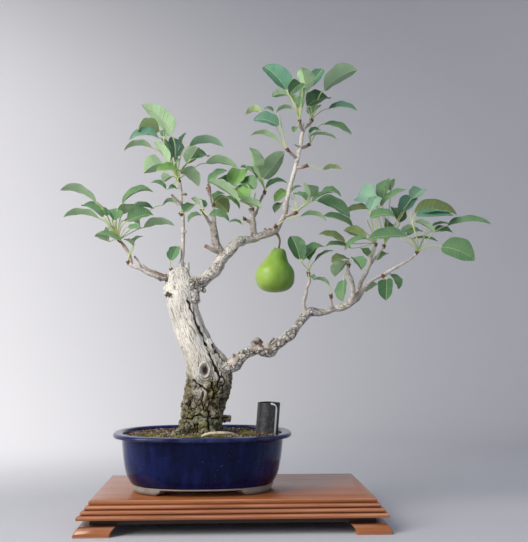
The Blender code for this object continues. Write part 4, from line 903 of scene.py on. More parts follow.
def trunk_relief(x, z, depth, front):
    """How far the trunk's skin stands out there in mm, and its shares of bark, hollow and moss; the hollow
    share is mostly painted shade in cracks and hollows, with some dirt and rot.
    """
    spot = Vector((x, depth, z))
    rough = noise.noise(spot * 0.045)
    ragged = rough * 30 + noise.noise(spot * 0.13) * 16
    barked = 1 - smooth(z + ragged - abs(x - 2) * 0.6, 184, 218)
    # bleached wood: fibres that run down the trunk, leaning with it above the knot
    lean = 0.42 if z > 235 else 0.0
    across = x + (z - 235) * lean
    warp = noise.noise(spot * 0.05) * 5
    fibre = 1 - abs(noise.noise(Vector(((across + warp) * 0.24, depth * 0.24, z * 0.016)))) * 2
    fine = 1 - abs(noise.noise(Vector(((across + warp) * 0.62, depth * 0.62, z * 0.05 + 7)))) * 2
    split = smooth(noise.noise(Vector(((across + warp) * 0.42 + 40, depth * 0.42, z * 0.03))), 0.34, 0.56)
    wood = fibre * 0.8 + fine * 0.6 - split * 1.3 + rough * 1.1
    # bark: blocks between deep cracks
    sway = noise.noise_vector(spot * 0.075) * 0.75 + noise.noise_vector(spot * 0.22) * 0.22
    near, cells = noise.voronoi(Vector((x * 0.082, depth * 0.082, z * 0.05)) + sway)
    joint = near[1] - near[0]
    tall = noise.noise(cells[0] * 5.7)  # each block stands at its own height
    ridge = 1 - abs(noise.noise(Vector((x * 0.16, depth * 0.16, z * 0.07)) + sway)) * 2
    block = smooth(joint, 0.01, 0.16) * 2.2 - 1.9 + tall * 3.0 + ridge * 1.4
    block += noise.noise(spot * 0.24) * 1.3 + noise.noise(spot * 0.5) * 0.7
    out = wood * (1 - barked) + block * barked
    # painted shade: the splits in the wood and the joints between bark blocks get a share of near-black
    hollow = split * 0.5 * (1 - barked) + barked * (1 - smooth(joint + tall * 0.15, 0.0, 0.1)) * 0.85
    if front:
        # the cracks and clefts are cut in and filled with painted shade
        for line, wide in ((CRACK, CRACK_WIDTH), (SECOND_CRACK, 2.3)) + BARK_GAPS:
            gap = off_line(x + noise.noise(spot * 0.14) * 2.4, z + noise.noise(spot * 0.17) * 2, line)
            wide *= 0.85 + 0.9 * noise.noise(Vector((z * 0.09, x * 0.09, wide)))
            cut = 1 - smooth(gap, wide * 0.25, wide * 0.95)
            out = out * (1 - cut) - 4.2 * cut
            hollow = max(hollow, cut)
        kx, kz, wide, high = KNOT_HOLE
        reach = math.hypot((x - kx) / wide, (z - kz) / high)
        swirl = math.sin(reach * 9 + math.atan2(z - kz, x - kx)) * 0.35 + noise.noise(spot * 0.35) * 1.3
        lip = math.exp(-((reach - 1.12) / 0.22) ** 2)
        inside = 1 - smooth(reach, 0.35, 0.95)
        ring_share = smooth(1.7 - reach, 0.0, 0.5)
        out = out * (1 - ring_share) + (lip * 2.8 - inside * 5.0 + swirl) * ring_share
        folds = math.sin(reach * 16 + noise.noise(spot * 0.1) * 4) * 0.5 + 0.5
        wrinkled = (1 - smooth(reach, 1.7, 2.6)) * smooth(reach, 1.2, 1.5) * smooth(x - z * 0.5, -118, -108)
        dirt = lip * (0.36 + 0.5 * noise.noise(spot * 0.3))
        # painted shade in the knot's hole and among its folds, and dirt on its lip
        hollow = max(hollow * (1 - ring_share), inside * 0.78, dirt, wrinkled * folds * 0.75)
        out -= wrinkled * folds * 1.4
        barked *= 1 - ring_share * 0.7
    # rot under the left knob, and dark bark beside the crotch
    stain = 1 - smooth(math.hypot((x + 54) / 10, (z - 339) / 5) + noise.noise(spot * 0.22), 0.3, 1.1)
    crotch = smooth(x, -27 + abs(z - 352) * 0.12, -20) * smooth(z, 322, 330) * (1 - smooth(z, 378, 388))
    torn = 0.30 + 0.65 * (1 - smooth(joint, 0.0, 0.12)) + 0.3 * noise.noise(spot * 0.2)
    hollow = max(hollow, stain * smooth(rough + fine * 0.3, -0.2, 0.3), crotch * torn)
    out += crotch * block * 0.6
    moss = barked * smooth(noise.noise(spot * 0.06 + Vector((3, 0, 0))), 0.06, 0.3)
    return out, barked, min(1.0, hollow), moss


def carve(mesh, relief):
    """Moves each point of the skin out by its relief, and stores what the relief says of it."""
    count = len(mesh.vertices)
    spots = np.empty(count * 3, np.float32)
    normals = np.empty(count * 3, np.float32)
    mesh.vertices.foreach_get("co", spots)
    mesh.vertex_normals.foreach_get("vector", normals)
    spots, normals = spots.reshape(-1, 3), normals.reshape(-1, 3)
    told = []
    for spot, normal in zip(spots, normals):
        told.append(relief(*as_seen(Vector(spot)), normal))
    told = np.array(told, np.float32)
    mesh.vertices.foreach_set("co", (spots + normals * told[:, :1] * MM).ravel())
    mesh.update()
    return told


told = carve(trunk_mesh, lambda x, z, depth, normal: trunk_relief(x, z, depth, normal[1] < 0.1))

old_wood = Finish("old_trunk", {"Specular IOR Level": 0.25})
barked, hollow, mossy = (old_wood.carried(name) for name in ("barked", "hollow", "mossy"))
relief = old_wood.carried("relief")
lean = old_wood.node("CombineXYZ", {}, {"X": old_wood.axis("Z") * 0.36})
leaning = old_wood.vector("ADD", old_wood.place(), lean)
fibres = old_wood.cloud(old_wood.vector("MULTIPLY", leaning, (520.0, 520.0, 26.0)), 1.0, 5.0, 0.72)
hairs = old_wood.cloud(old_wood.vector("MULTIPLY", leaning, (900.0, 900.0, 75.0)), 1.0, 3.0, 0.6)
broad = old_wood.cloud((1.0, 1.0, 0.45), 30.0, 4.0)
specks = old_wood.cloud((1.0, 1.0, 0.5), 330.0, 3.0, 0.7)
low_down = 1 - old_wood.axis("Z").between(0.215 + TREE_LIFT, 0.285 + TREE_LIFT)
bleached = old_wood.over(
    old_wood.ramp(
        broad * 0.6 + fibres * 0.4,
        (0.32, (0.33, 0.34, 0.37)), (0.44, (0.58, 0.56, 0.52)),
        (0.53, (0.82, 0.77, 0.68)), (0.66, (0.96, 0.93, 0.86)),
    ),
    (low_down * broad.between(0.35, 0.6) * 0.6, (0.27, 0.235, 0.17)),
    (fibres.between(0.50, 0.62) * 0.72, (0.25, 0.23, 0.215)),
    (hairs.between(0.52, 0.62) * 0.6, (0.20, 0.175, 0.15)),
    (specks.between(0.60, 0.67) * 0.6, (0.11, 0.09, 0.075)),
    # painted shade: the skin's low places are darkened by their relief
    ((1 - relief.between(-1.3, 0.7)) * 0.6, (0.16, 0.14, 0.125)),
)
crumbs = old_wood.cloud((1.0, 1.0, 0.6), 210.0, 5.0, 0.65)
lichen = old_wood.cloud(EVEN, 44.0, 3.0).between(0.5, 0.62)
dark_bark = old_wood.over(
    old_wood.ramp(
        crumbs * 0.75 + broad * 0.25,
        (0.3, (0.035, 0.026, 0.016)), (0.46, (0.13, 0.105, 0.066)),
        (0.6, (0.27, 0.235, 0.165)), (0.74, (0.42, 0.39, 0.30)),
    ),
    (lichen * 0.6, (0.20, 0.23, 0.17)),
    (mossy * crumbs.between(0.35, 0.6) * 0.75, (0.155, 0.15, 0.03)),
)
# near-black in the hollows: painted shade in cracks, splits and the knot, with dirt, rot and torn bark
hollow_shade_and_stains = hollow.between(0.15, 0.9) * 0.93
colour = old_wood.over(bleached, (barked, dark_bark), (hollow_shade_and_stains, (0.021, 0.014, 0.009)))
grained = fibres * (1 - barked) + crumbs * (barked + 0.3)
OLD_TRUNK = old_wood.show(colour, 0.78 + fibres * 0.15, grained, 0.9 * MM)
piece_from("old_trunk", trunk_mesh, [OLD_TRUNK], ["trunk"])
mark(trunk_mesh, **dict(zip(("relief", "barked", "hollow", "mossy"), told.T)))


# ---------------------------------------------------------------- branches
# Live limbs with thin grey-beige bark, knobbly where spurs were cut back and ringed by old bud scars.
# Younger shoots are browner, and each ends in a spur that carries a tuft of leaves.

BRANCHES = {  # (what it grows from, its own line, the lines of its spurs) as (x, z, depth, radius)
    "left_branch": (
        "trunk",
        (
            (-44, 362, 0, 8), (-56, 366, -2, 6), (-66, 367, -4, 5), (-77, 370, -7, 4.2),
            (-89, 374, -9, 3.7), (-100, 381, -10, 3.4), (-110, 384, -10, 3.2), (-117, 387, -10, 3),
        ),
        (
            (-113, 386, -10, 2.4), (-116, 396, -9, 2.7), (-118, 404, -8, 2.6), (-125, 415, -6, 2.4),
            (-132, 423, -4, 2),
        ),
        ((-98, 381, -10, 1.6), (-101, 388, -11, 1.4), (-105, 394, -11, 1.5), (-110, 400, -12, 1.8)),
        ((-97, 387, -12, 1.1), (-89, 380, -12, 1.8), (-77, 375, -9, 2), (-64, 370, -5, 2)),
    ),
    "left_shoot": (
        "trunk",
        (
            (-34, 376, 3, 4), (-35, 386, 3, 3.4), (-35, 395, 3, 3), (-34, 405, 3, 2.9), (-34, 426, 5, 2.8),
            (-34, 450, 6, 2.5), (-35, 469, 7, 2.3), (-37, 485, 7, 2.2), (-38, 498, 7, 2.2),
            (-39, 510, 6, 2.2), (-41, 520, 6, 2.1),
        ),
        ((-37.5, 498, 7, 1.6), (-33, 499, 5, 2.1), (-29, 498, 4, 1.8)),
        ((-36.5, 481, 7, 1.6), (-43, 488, 5, 2), (-48, 493, 4, 1.9), (-53, 498, 3, 1.5)),
        ((-34, 436, 5, 1.4), (-29, 440, 3, 1.6)),
    ),
    "upper_limb": (
        "trunk",
        (
            (-32, 350, 0, 11), (-20, 354, -2, 11), (-8, 360, -4, 10.5), (5, 369, -6, 9.5), (16, 379, -8, 9),
            (27, 394, -10, 8.5), (36, 406, -10, 8), (45, 416, -9, 8.5), (55, 424, -6, 7.5),
            (65, 427, -2, 6.5), (76, 429, 2, 6.2), (88, 433, 5, 5.8), (100, 437, 7, 6), (110, 441, 8, 5.6),
            (117, 450, 8, 4.5), (121, 458, 7, 4), (126, 468, 5, 4), (127, 478, 3, 4.8), (130, 492, 0, 3.5),
            (133, 505, -2, 3.3), (137, 520, -3, 3.2), (141, 535, -2, 3.3), (145, 550, 0, 3.2),
            (148.5, 567, 2, 3.3), (152, 580, 4, 3), (154, 595, 4, 2.9), (156.5, 607, 3, 3.2),
            (160, 618, 2, 2.6),
        ),
        ((145.5, 559, 1, 2), (139, 565, -4, 2.3), (132, 572, -8, 1.8)),
        ((150, 577, 4, 2), (158, 578, 9, 2.7), (164, 581, 13, 2.2)),
        ((144, 543, 0, 2), (152, 545, -4, 2.6), (160, 547, -8, 2.4)),
        ((156, 604, 3, 2.2), (152, 612, -1, 3), (151, 619, -3, 2.4)),
        ((158, 610, 3, 2), (166, 616, 9, 2.6), (170, 621, 12, 2.2)),
        ((152, 577, 4, 1.2), (142, 582, 0, 1)),
        ((126, 464, 5, 2), (135, 468, -1, 2.6), (143, 470, -6, 2.2)),
        ((95, 436, 6, 2.2), (95, 446, 3, 2)),
        ((101, 438, 7, 1.8), (102, 445, 4, 1.6)),
        ((108, 440, 6, 2.2), (111, 448, -2, 1.9)),
    ),
    "mid_left_twig": (
        "upper_limb",
        (
            (30, 401, -10, 5), (22, 413, -12, 6), (17, 424, -13, 6.2), (15, 436, -14, 5.6),
            (13, 447, -14, 5), (14, 456, -14, 3.4), (14, 464, -14, 2.9), (13.5, 473, -15, 2.5),
            (13, 481, -15, 2.2),
        ),
        ((13, 446, -14, 4), (8, 452, -16, 3), (4, 459, -18, 2.4), (0, 466, -20, 2.2), (-4, 472, -21, 1.9)),
        ((22, 408, -12, 4), (12, 411, -16, 3.2), (6, 414.5, -17, 2.9), (0, 417, -18, 2.8)),
        ((13, 478, -15, 1.4), (9, 492, -19, 1.3), (7, 502, -20, 2.6), (5, 510, -20, 3.6)),
    ),
    "middle_twig": (
        "upper_limb",
        ((78, 428, 3, 5), (76.5, 440, 2, 5), (76, 450, 0, 4.8), (75, 462, -2, 4.3), (75.5, 473, -3, 3.6)),
        ((75, 467, -2, 2.6), (70, 477, -5, 2.2)),
        ((76, 464, -2, 2.6), (82, 471, 0, 2.2)),
        ((75, 453, -1, 2.2), (68, 457, -4, 2.4), (63, 460, -6, 2)),
    ),
    "leaning_twig": (
        "middle_twig",
        ((78, 464, 1, 2), (83, 476, 6, 1.9), (87, 489, 8, 2), (94, 502, 8, 2.3)),
    ),
    "lower_limb": (
        "trunk",
        (
            (26, 222, -2, 12), (34, 226, -5, 11.5), (44, 231, -8, 11), (53, 239, -11, 9.5),
            (64, 248, -14, 7.6), (75, 253.5, -17, 7.5), (84, 255, -19, 7.5), (94, 251, -20, 8.5),
            (103, 253, -20, 9.3), (114, 262.5, -18, 6.8), (125, 269.5, -15, 6.8), (134, 279, -12, 8),
            (143, 290, -9, 6), (150, 298, -6, 6.5), (158, 307, -3, 7.5), (167, 313, 0, 7),
            (180, 312.5, 4, 5.5), (191, 314, 6, 5), (202, 318, 8, 5), (213, 320, 8, 5.7), (224, 325, 6, 6),
            (233, 331, 4, 6), (241, 338, 2, 6), (247, 346, 2, 4.5),
        ),
        ((80, 258, -20, 4), (77, 266, -23, 4), (83, 270, -24, 3.6), (90, 264, -22, 3)),
        ((96, 256, -20, 2.4), (103, 266, -23, 1.8), (109, 272, -24, 1.4)),
        ((200, 317, 7, 1.8), (199.5, 328, 5, 1.4), (199, 337, 4, 1.6)),
        ((46, 240, -14, 2.4), (46, 248, -18, 2)),
    ),
    "low_twig": (
        "lower_limb",
        (
            (159, 306, -3, 4), (157, 319, -5, 3.2), (156, 328, -6, 2.9), (159, 340, -7, 2.6),
            (161, 352, -7, 2.4), (165.5, 362, -8, 2.2), (163.5, 372, -9, 1.9),
        ),
    ),
    "fork_front": (
        "lower_limb",
        (
            (231, 330, 2, 4.2), (234, 340, -3, 3.7), (234, 352, -7, 3.3), (230.5, 367, -11, 3.1),
            (226, 377, -14, 3), (227, 385, -16, 2.6),
        ),
    ),
    "fork_right": (
        "lower_limb",
        (
            (245, 342, 1, 3.4), (253, 354, -3, 3), (262, 363, -7, 2.7), (277, 370, -11, 2.6),
            (297, 381, -14, 2.4), (314, 391, -17, 2.3), (327, 399, -19, 2.2), (336, 407, -20, 2),
        ),
    ),
    "fork_middle": (
        "lower_limb",
        (
            (241, 339, 4, 4), (244, 353, 8, 3.6), (249, 366, 11, 3.3), (255, 376, 13, 3.1),
            (260.5, 388, 15, 3), (263.5, 400, 16, 2.6), (268, 411, 16, 2.2), (271, 420, 15, 1.9),
        ),
    ),
    "fork_back": (
        "fork_middle",
        (
            (257, 380, 15, 2.4), (263, 390, 20, 2.4), (269, 398, 24, 2.2), (276, 408, 29, 2),
            (284, 417, 34, 1.8),
        ),
    ),
}
BROWN = {"left_shoot": 0.3, "mid_left_twig": 0.4, "middle_twig": 0.25, "leaning_twig": 0.4, "low_twig": 0.3,
         "fork_front": 0.2, "fork_right": 0.15, "fork_middle": 0.15, "fork_back": 0.2}
WITHERED = ((7, 500, -20), (6, 506, -19), (3, 509, -20), (8, 511, -21), (5, 514, -20), (4, 504, -22))

shape = bmesh.new()
samples = []
for branch, (_, main, *sides) in BRANCHES.items():
    for order, path in enumerate([main, *sides]):
        line = stem_path(path, 7)
        knobbly = []
        for i, (place, radius) in enumerate(line):
            swell = 1 + 0.13 * noise.noise(place * 95) + 0.07 * noise.noise(place * 260)
            drift = Vector([noise.noise(place * 60 + Vector((k * 9, 0, 0))) for k in range(3)])
            wander = drift * radius * 0.22
            knobbly.append((place + wander, radius * swell))
            brown = BROWN.get(branch, 0.0) if order == 0 else max(0.6, BROWN.get(branch, 0.0))
            samples.append((place, radius, brown, i / len(line) if order else 0.0))
        tube(shape, knobbly, 16)
for x, z, depth in WITHERED:
    tip = (x + dice.uniform(-4, 4), z + dice.uniform(-2, 5), depth + dice.uniform(-3, 3), 0.7)
    tube(shape, stem_path(((x, z, depth, 2.9), tip), 3), 10)
limb_mesh = fused(shape, LIMB_VOXEL, 2)
nearest = kdtree.KDTree(len(samples))
for i, (place, _, _, _) in enumerate(samples):
    nearest.insert(place, i)
nearest.balance()


def limb_relief(x, z, depth, normal):
    """As for the trunk, with shares of brown, hollow and tip, and how thick the limb is in mm."""
    spot = Vector((x, depth, z))
    _, index, _ = nearest.find(seen(x, z, depth))
    _, radius, brown, along = samples[index]
    thick = radius / MM
    size = min(1.0, thick / 7)
    rough = noise.noise(spot * 0.11)
    cells, _ = noise.voronoi(spot * 0.13)
    joint = smooth(cells[1] - cells[0], 0.0, 0.22)
    flake = 1 - abs(noise.noise(spot * 0.33)) * 2
    rings = noise.noise(Vector((x * 0.5, depth * 0.12, z * 0.5))) if thick < 3.5 else 0.0
    old = smooth(thick, 5.0, 7.5) * (1 - smooth(z, 330, 345))  # only the low limb's bark is cracked
    crotch = (1 - smooth(z, 360, 372)) * smooth(z, 318, 326)
    crotch *= 1 - smooth(x + noise.noise(spot * 0.15) * 7, -6, 5)
    out = rough * 1.0 * size + (joint - 0.7) * 0.9 * old + flake * 0.3 + rings * 0.3
    out += noise.noise(Vector((x * 0.2, depth * 0.2, z * 0.2))) * 0.5 * size
    # painted shade: the cracks between old plates and the low places among the flakes are darkened
    hollow = (1 - joint) * old * 0.9 + smooth(-flake, 0.05, 0.6) * 0.45 * size
    hollow = max(hollow, crotch * (0.55 + 0.5 * (1 - joint) + 0.5 * noise.noise(spot * 0.3)))
    out += crotch * (flake + noise.noise(spot * 0.18) * 2.4)
    if 74 < x < 115 and 238 < z < 275:  # the knuckle where the low limb turns
        out += noise.noise(spot * 0.09 + Vector((5, 0, 0))) * 2.2
        hollow = max(hollow, smooth(-noise.noise(spot * 0.16), 0.12, 0.4) * 0.8)
    return out, brown, hollow, along, thick


told = carve(limb_mesh, limb_relief)

live_bark = Finish("live_bark", {"Specular IOR Level": 0.3})
brown, hollow, bud = (live_bark.carried(name) for name in ("brown", "hollow", "bud"))
thick = live_bark.carried("thick")
relief = live_bark.carried("relief")
mottle = live_bark.cloud(EVEN, 95.0, 4.0, 0.6)
grit = live_bark.cloud(EVEN, 420.0, 4.0, 0.7)
unevenly = live_bark.node("TexNoise", {}, {"Scale": 60.0}, "Color")
shaken = live_bark.node("VectorMath", {"operation": "SCALE"}, {0: unevenly, "Scale": 0.02})
chinks = live_bark.cells("DISTANCE_TO_EDGE", live_bark.vector("ADD", live_bark.place(), shaken), 125.0)
chink = (1 - chinks.between(0.02, 0.14)) * mottle.between(0.42, 0.56) * thick.between(2.0, 6.0)
specks = live_bark.cloud(EVEN, 700.0, 2.0).between(0.63, 0.70)
grey = live_bark.ramp(
    mottle * 0.7 + grit * 0.3,
    (0.32, (0.26, 0.225, 0.18)), (0.43, (0.53, 0.485, 0.425)),
    (0.54, (0.74, 0.69, 0.62)), (0.68, (0.90, 0.86, 0.79)),
)
russet = live_bark.blend(mottle.between(0.35, 0.65), (0.135, 0.10, 0.075), (0.33, 0.25, 0.19))
colour = live_bark.over(
    grey,
    (brown, russet),
    (bud.between(0.45, 0.95) * 0.8, (0.20, 0.075, 0.04)),
    # painted shade: the bark's low places are darkened by their relief
    ((1 - relief.between(-0.9, 0.35)) * 0.6, (0.10, 0.08, 0.06)),
    # painted shade in cracks and hollows, with the crotch's dark torn bark
    (hollow * 0.9, (0.02, 0.014, 0.009)),
    (chink * 0.85, (0.07, 0.055, 0.04)),
    (specks * 0.5, (0.045, 0.035, 0.025)),
)
LIVE_BARK = live_bark.show(colour, 0.75 + grit * 0.2, grit * 0.6 + mottle - chink * 0.7, 0.9 * MM)
piece_from("live_limbs", limb_mesh, [LIVE_BARK], list(BRANCHES))
mark(limb_mesh, **dict(zip(("relief", "brown", "hollow", "bud", "thick"), told.T)))


# ---------------------------------------------------------------- pear
# One ripe fruit, yellow-green with fine dots in its skin and a fleshy fold beside the stalk, from
# which it hangs by a curved brown stalk off the upper limb.

PEAR_RADIUS, PEAR_HEIGHT, PEAR_SIDES = 31 * MM, 71 * MM, 96
PEAR_AT = (111.3, 344, 5)  # the underside of the fruit
pear_low, pear_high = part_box("pear")
PEAR_PROFILE = (  # (out, up) from the crown down to the eye
    (0.0, 0.952), (0.05, 0.949), (0.1, 0.962), (0.19, 0.972), (0.29, 0.957), (0.37, 0.918), (0.43, 0.868),
    (0.5, 0.8), (0.58, 0.725), (0.68, 0.655), (0.79, 0.595), (0.9, 0.53), (0.965, 0.465), (1.0, 0.385),
    (0.99, 0.3), (0.94, 0.21), (0.82, 0.12), (0.62, 0.05), (0.36, 0.012), (0.2, 0.004), (0.1, 0.02),
    (0.03, 0.034), (0.0, 0.035),
)
tilt = Matrix.Rotation(math.radians(-1.0), 3, "Y")
shape = bmesh.new()
rings = []
crease = []
for out, up in curved(PEAR_PROFILE, 5)[1:-1]:
    ring = []
    for i in range(PEAR_SIDES):
        angle = 2 * math.pi * i / PEAR_SIDES
        way = Vector((math.cos(angle), math.sin(angle), 0.0))
        lump = 1 + 0.03 * noise.noise(Vector((way.x * 1.9, way.y * 1.9, up * 4.2)))
        lump += 0.008 * noise.noise(Vector((way.x * 6, way.y * 6, up * 13)))
        lump += 0.012 * math.sin(angle * 5 + 1) * max(0.0, 1 - abs(up - 0.1) * 5)
        reach = PEAR_RADIUS * max(out, 0.002) * lump
        rise = PEAR_HEIGHT * up
        fold = math.exp(-((angle - math.pi) / 0.7) ** 2) * math.exp(-((out - 0.17) / 0.09) ** 2) * (up > 0.8)
        bend = smooth(up, 0.55, 1.0) * 6 * MM  # the neck leans over to the stalk
        point = tilt @ (way * reach + Vector((bend, 0.0, rise + fold * 2.6 * MM)))
        ring.append(point + seen(*PEAR_AT))
        crease.append(max(0.0, 1 - out / 0.12) if up > 0.9 or up < 0.05 else 0.0)
    rings.append(ring)
skin(shape, rings)
ripe = Finish("pear_skin", {
    "IOR": 1.45, "Subsurface Weight": 0.12, "Subsurface Scale": 4 * MM,
    "Subsurface Radius": (0.8, 1.0, 0.25), "Coat Weight": 0.12, "Coat Roughness": 0.35,
})
blush = ripe.cloud((1.0, 1.0, 0.7), 26.0, 3.0)
lit_side = 1 - ripe.axis("X").between(pear_low.x - 8 * MM, pear_high.x - 6 * MM)
streaks = ripe.cloud((60.0, 60.0, 8.0), 1.0, 3.0)
dot = 1 - ripe.cells("F1", ripe.place(), 430.0).between(0.12, 0.22)
colour = ripe.over(
    (0.085, 0.21, 0.014),
    ((lit_side * 0.75 + blush * 0.5).between(0.1, 1.0), (0.25, 0.395, 0.045)),
    (streaks.between(0.45, 0.7) * 0.3, (0.31, 0.43, 0.08)),
    (dot * 0.4, (0.12, 0.17, 0.03)),
    (ripe.carried("crease") * 0.8, (0.10, 0.075, 0.02)),
)
RIPE = ripe.show(colour, 0.36 + blush * 0.12, blush * 0.4 - dot * 0.2, 0.4 * MM)
pear = piece_of("ripe_pear", shape, [RIPE], ["pear"])
mark(pear.data, crease=crease)

stem_skin = Finish("stalk_skin", {})
knots = stem_skin.cloud(EVEN, 240.0, 3.0)
colour = stem_skin.blend(knots, (0.05, 0.03, 0.015), (0.20, 0.125, 0.06))
STALK_SKIN = stem_skin.show(colour, 0.6, knots, 0.4 * MM)
STALK_LINE = (
    (112, 439, 8, 3.4), (114.5, 435.5, 7.5, 2.5), (117, 431, 7, 1.8), (118.2, 426, 6, 1.55),
    (117.6, 419, 5, 1.5), (116.4, 413, 5, 1.7), (115.6, 409, 5, 2.1), (115.2, 406.5, 5, 2.3),
)
shape = bmesh.new()
tube(shape, stem_path(STALK_LINE, 6), 16)
piece_of("fruit_stalk", shape, [STALK_SKIN], ["pear_stalk"])


# ---------------------------------------------------------------- leaves
# Pear leaves in tufts, each tuft from a scaly bud: oval blades with a short point, finely toothed,
# folded up along a pale midrib, glossier and darker above than below, on thin pale stalks.

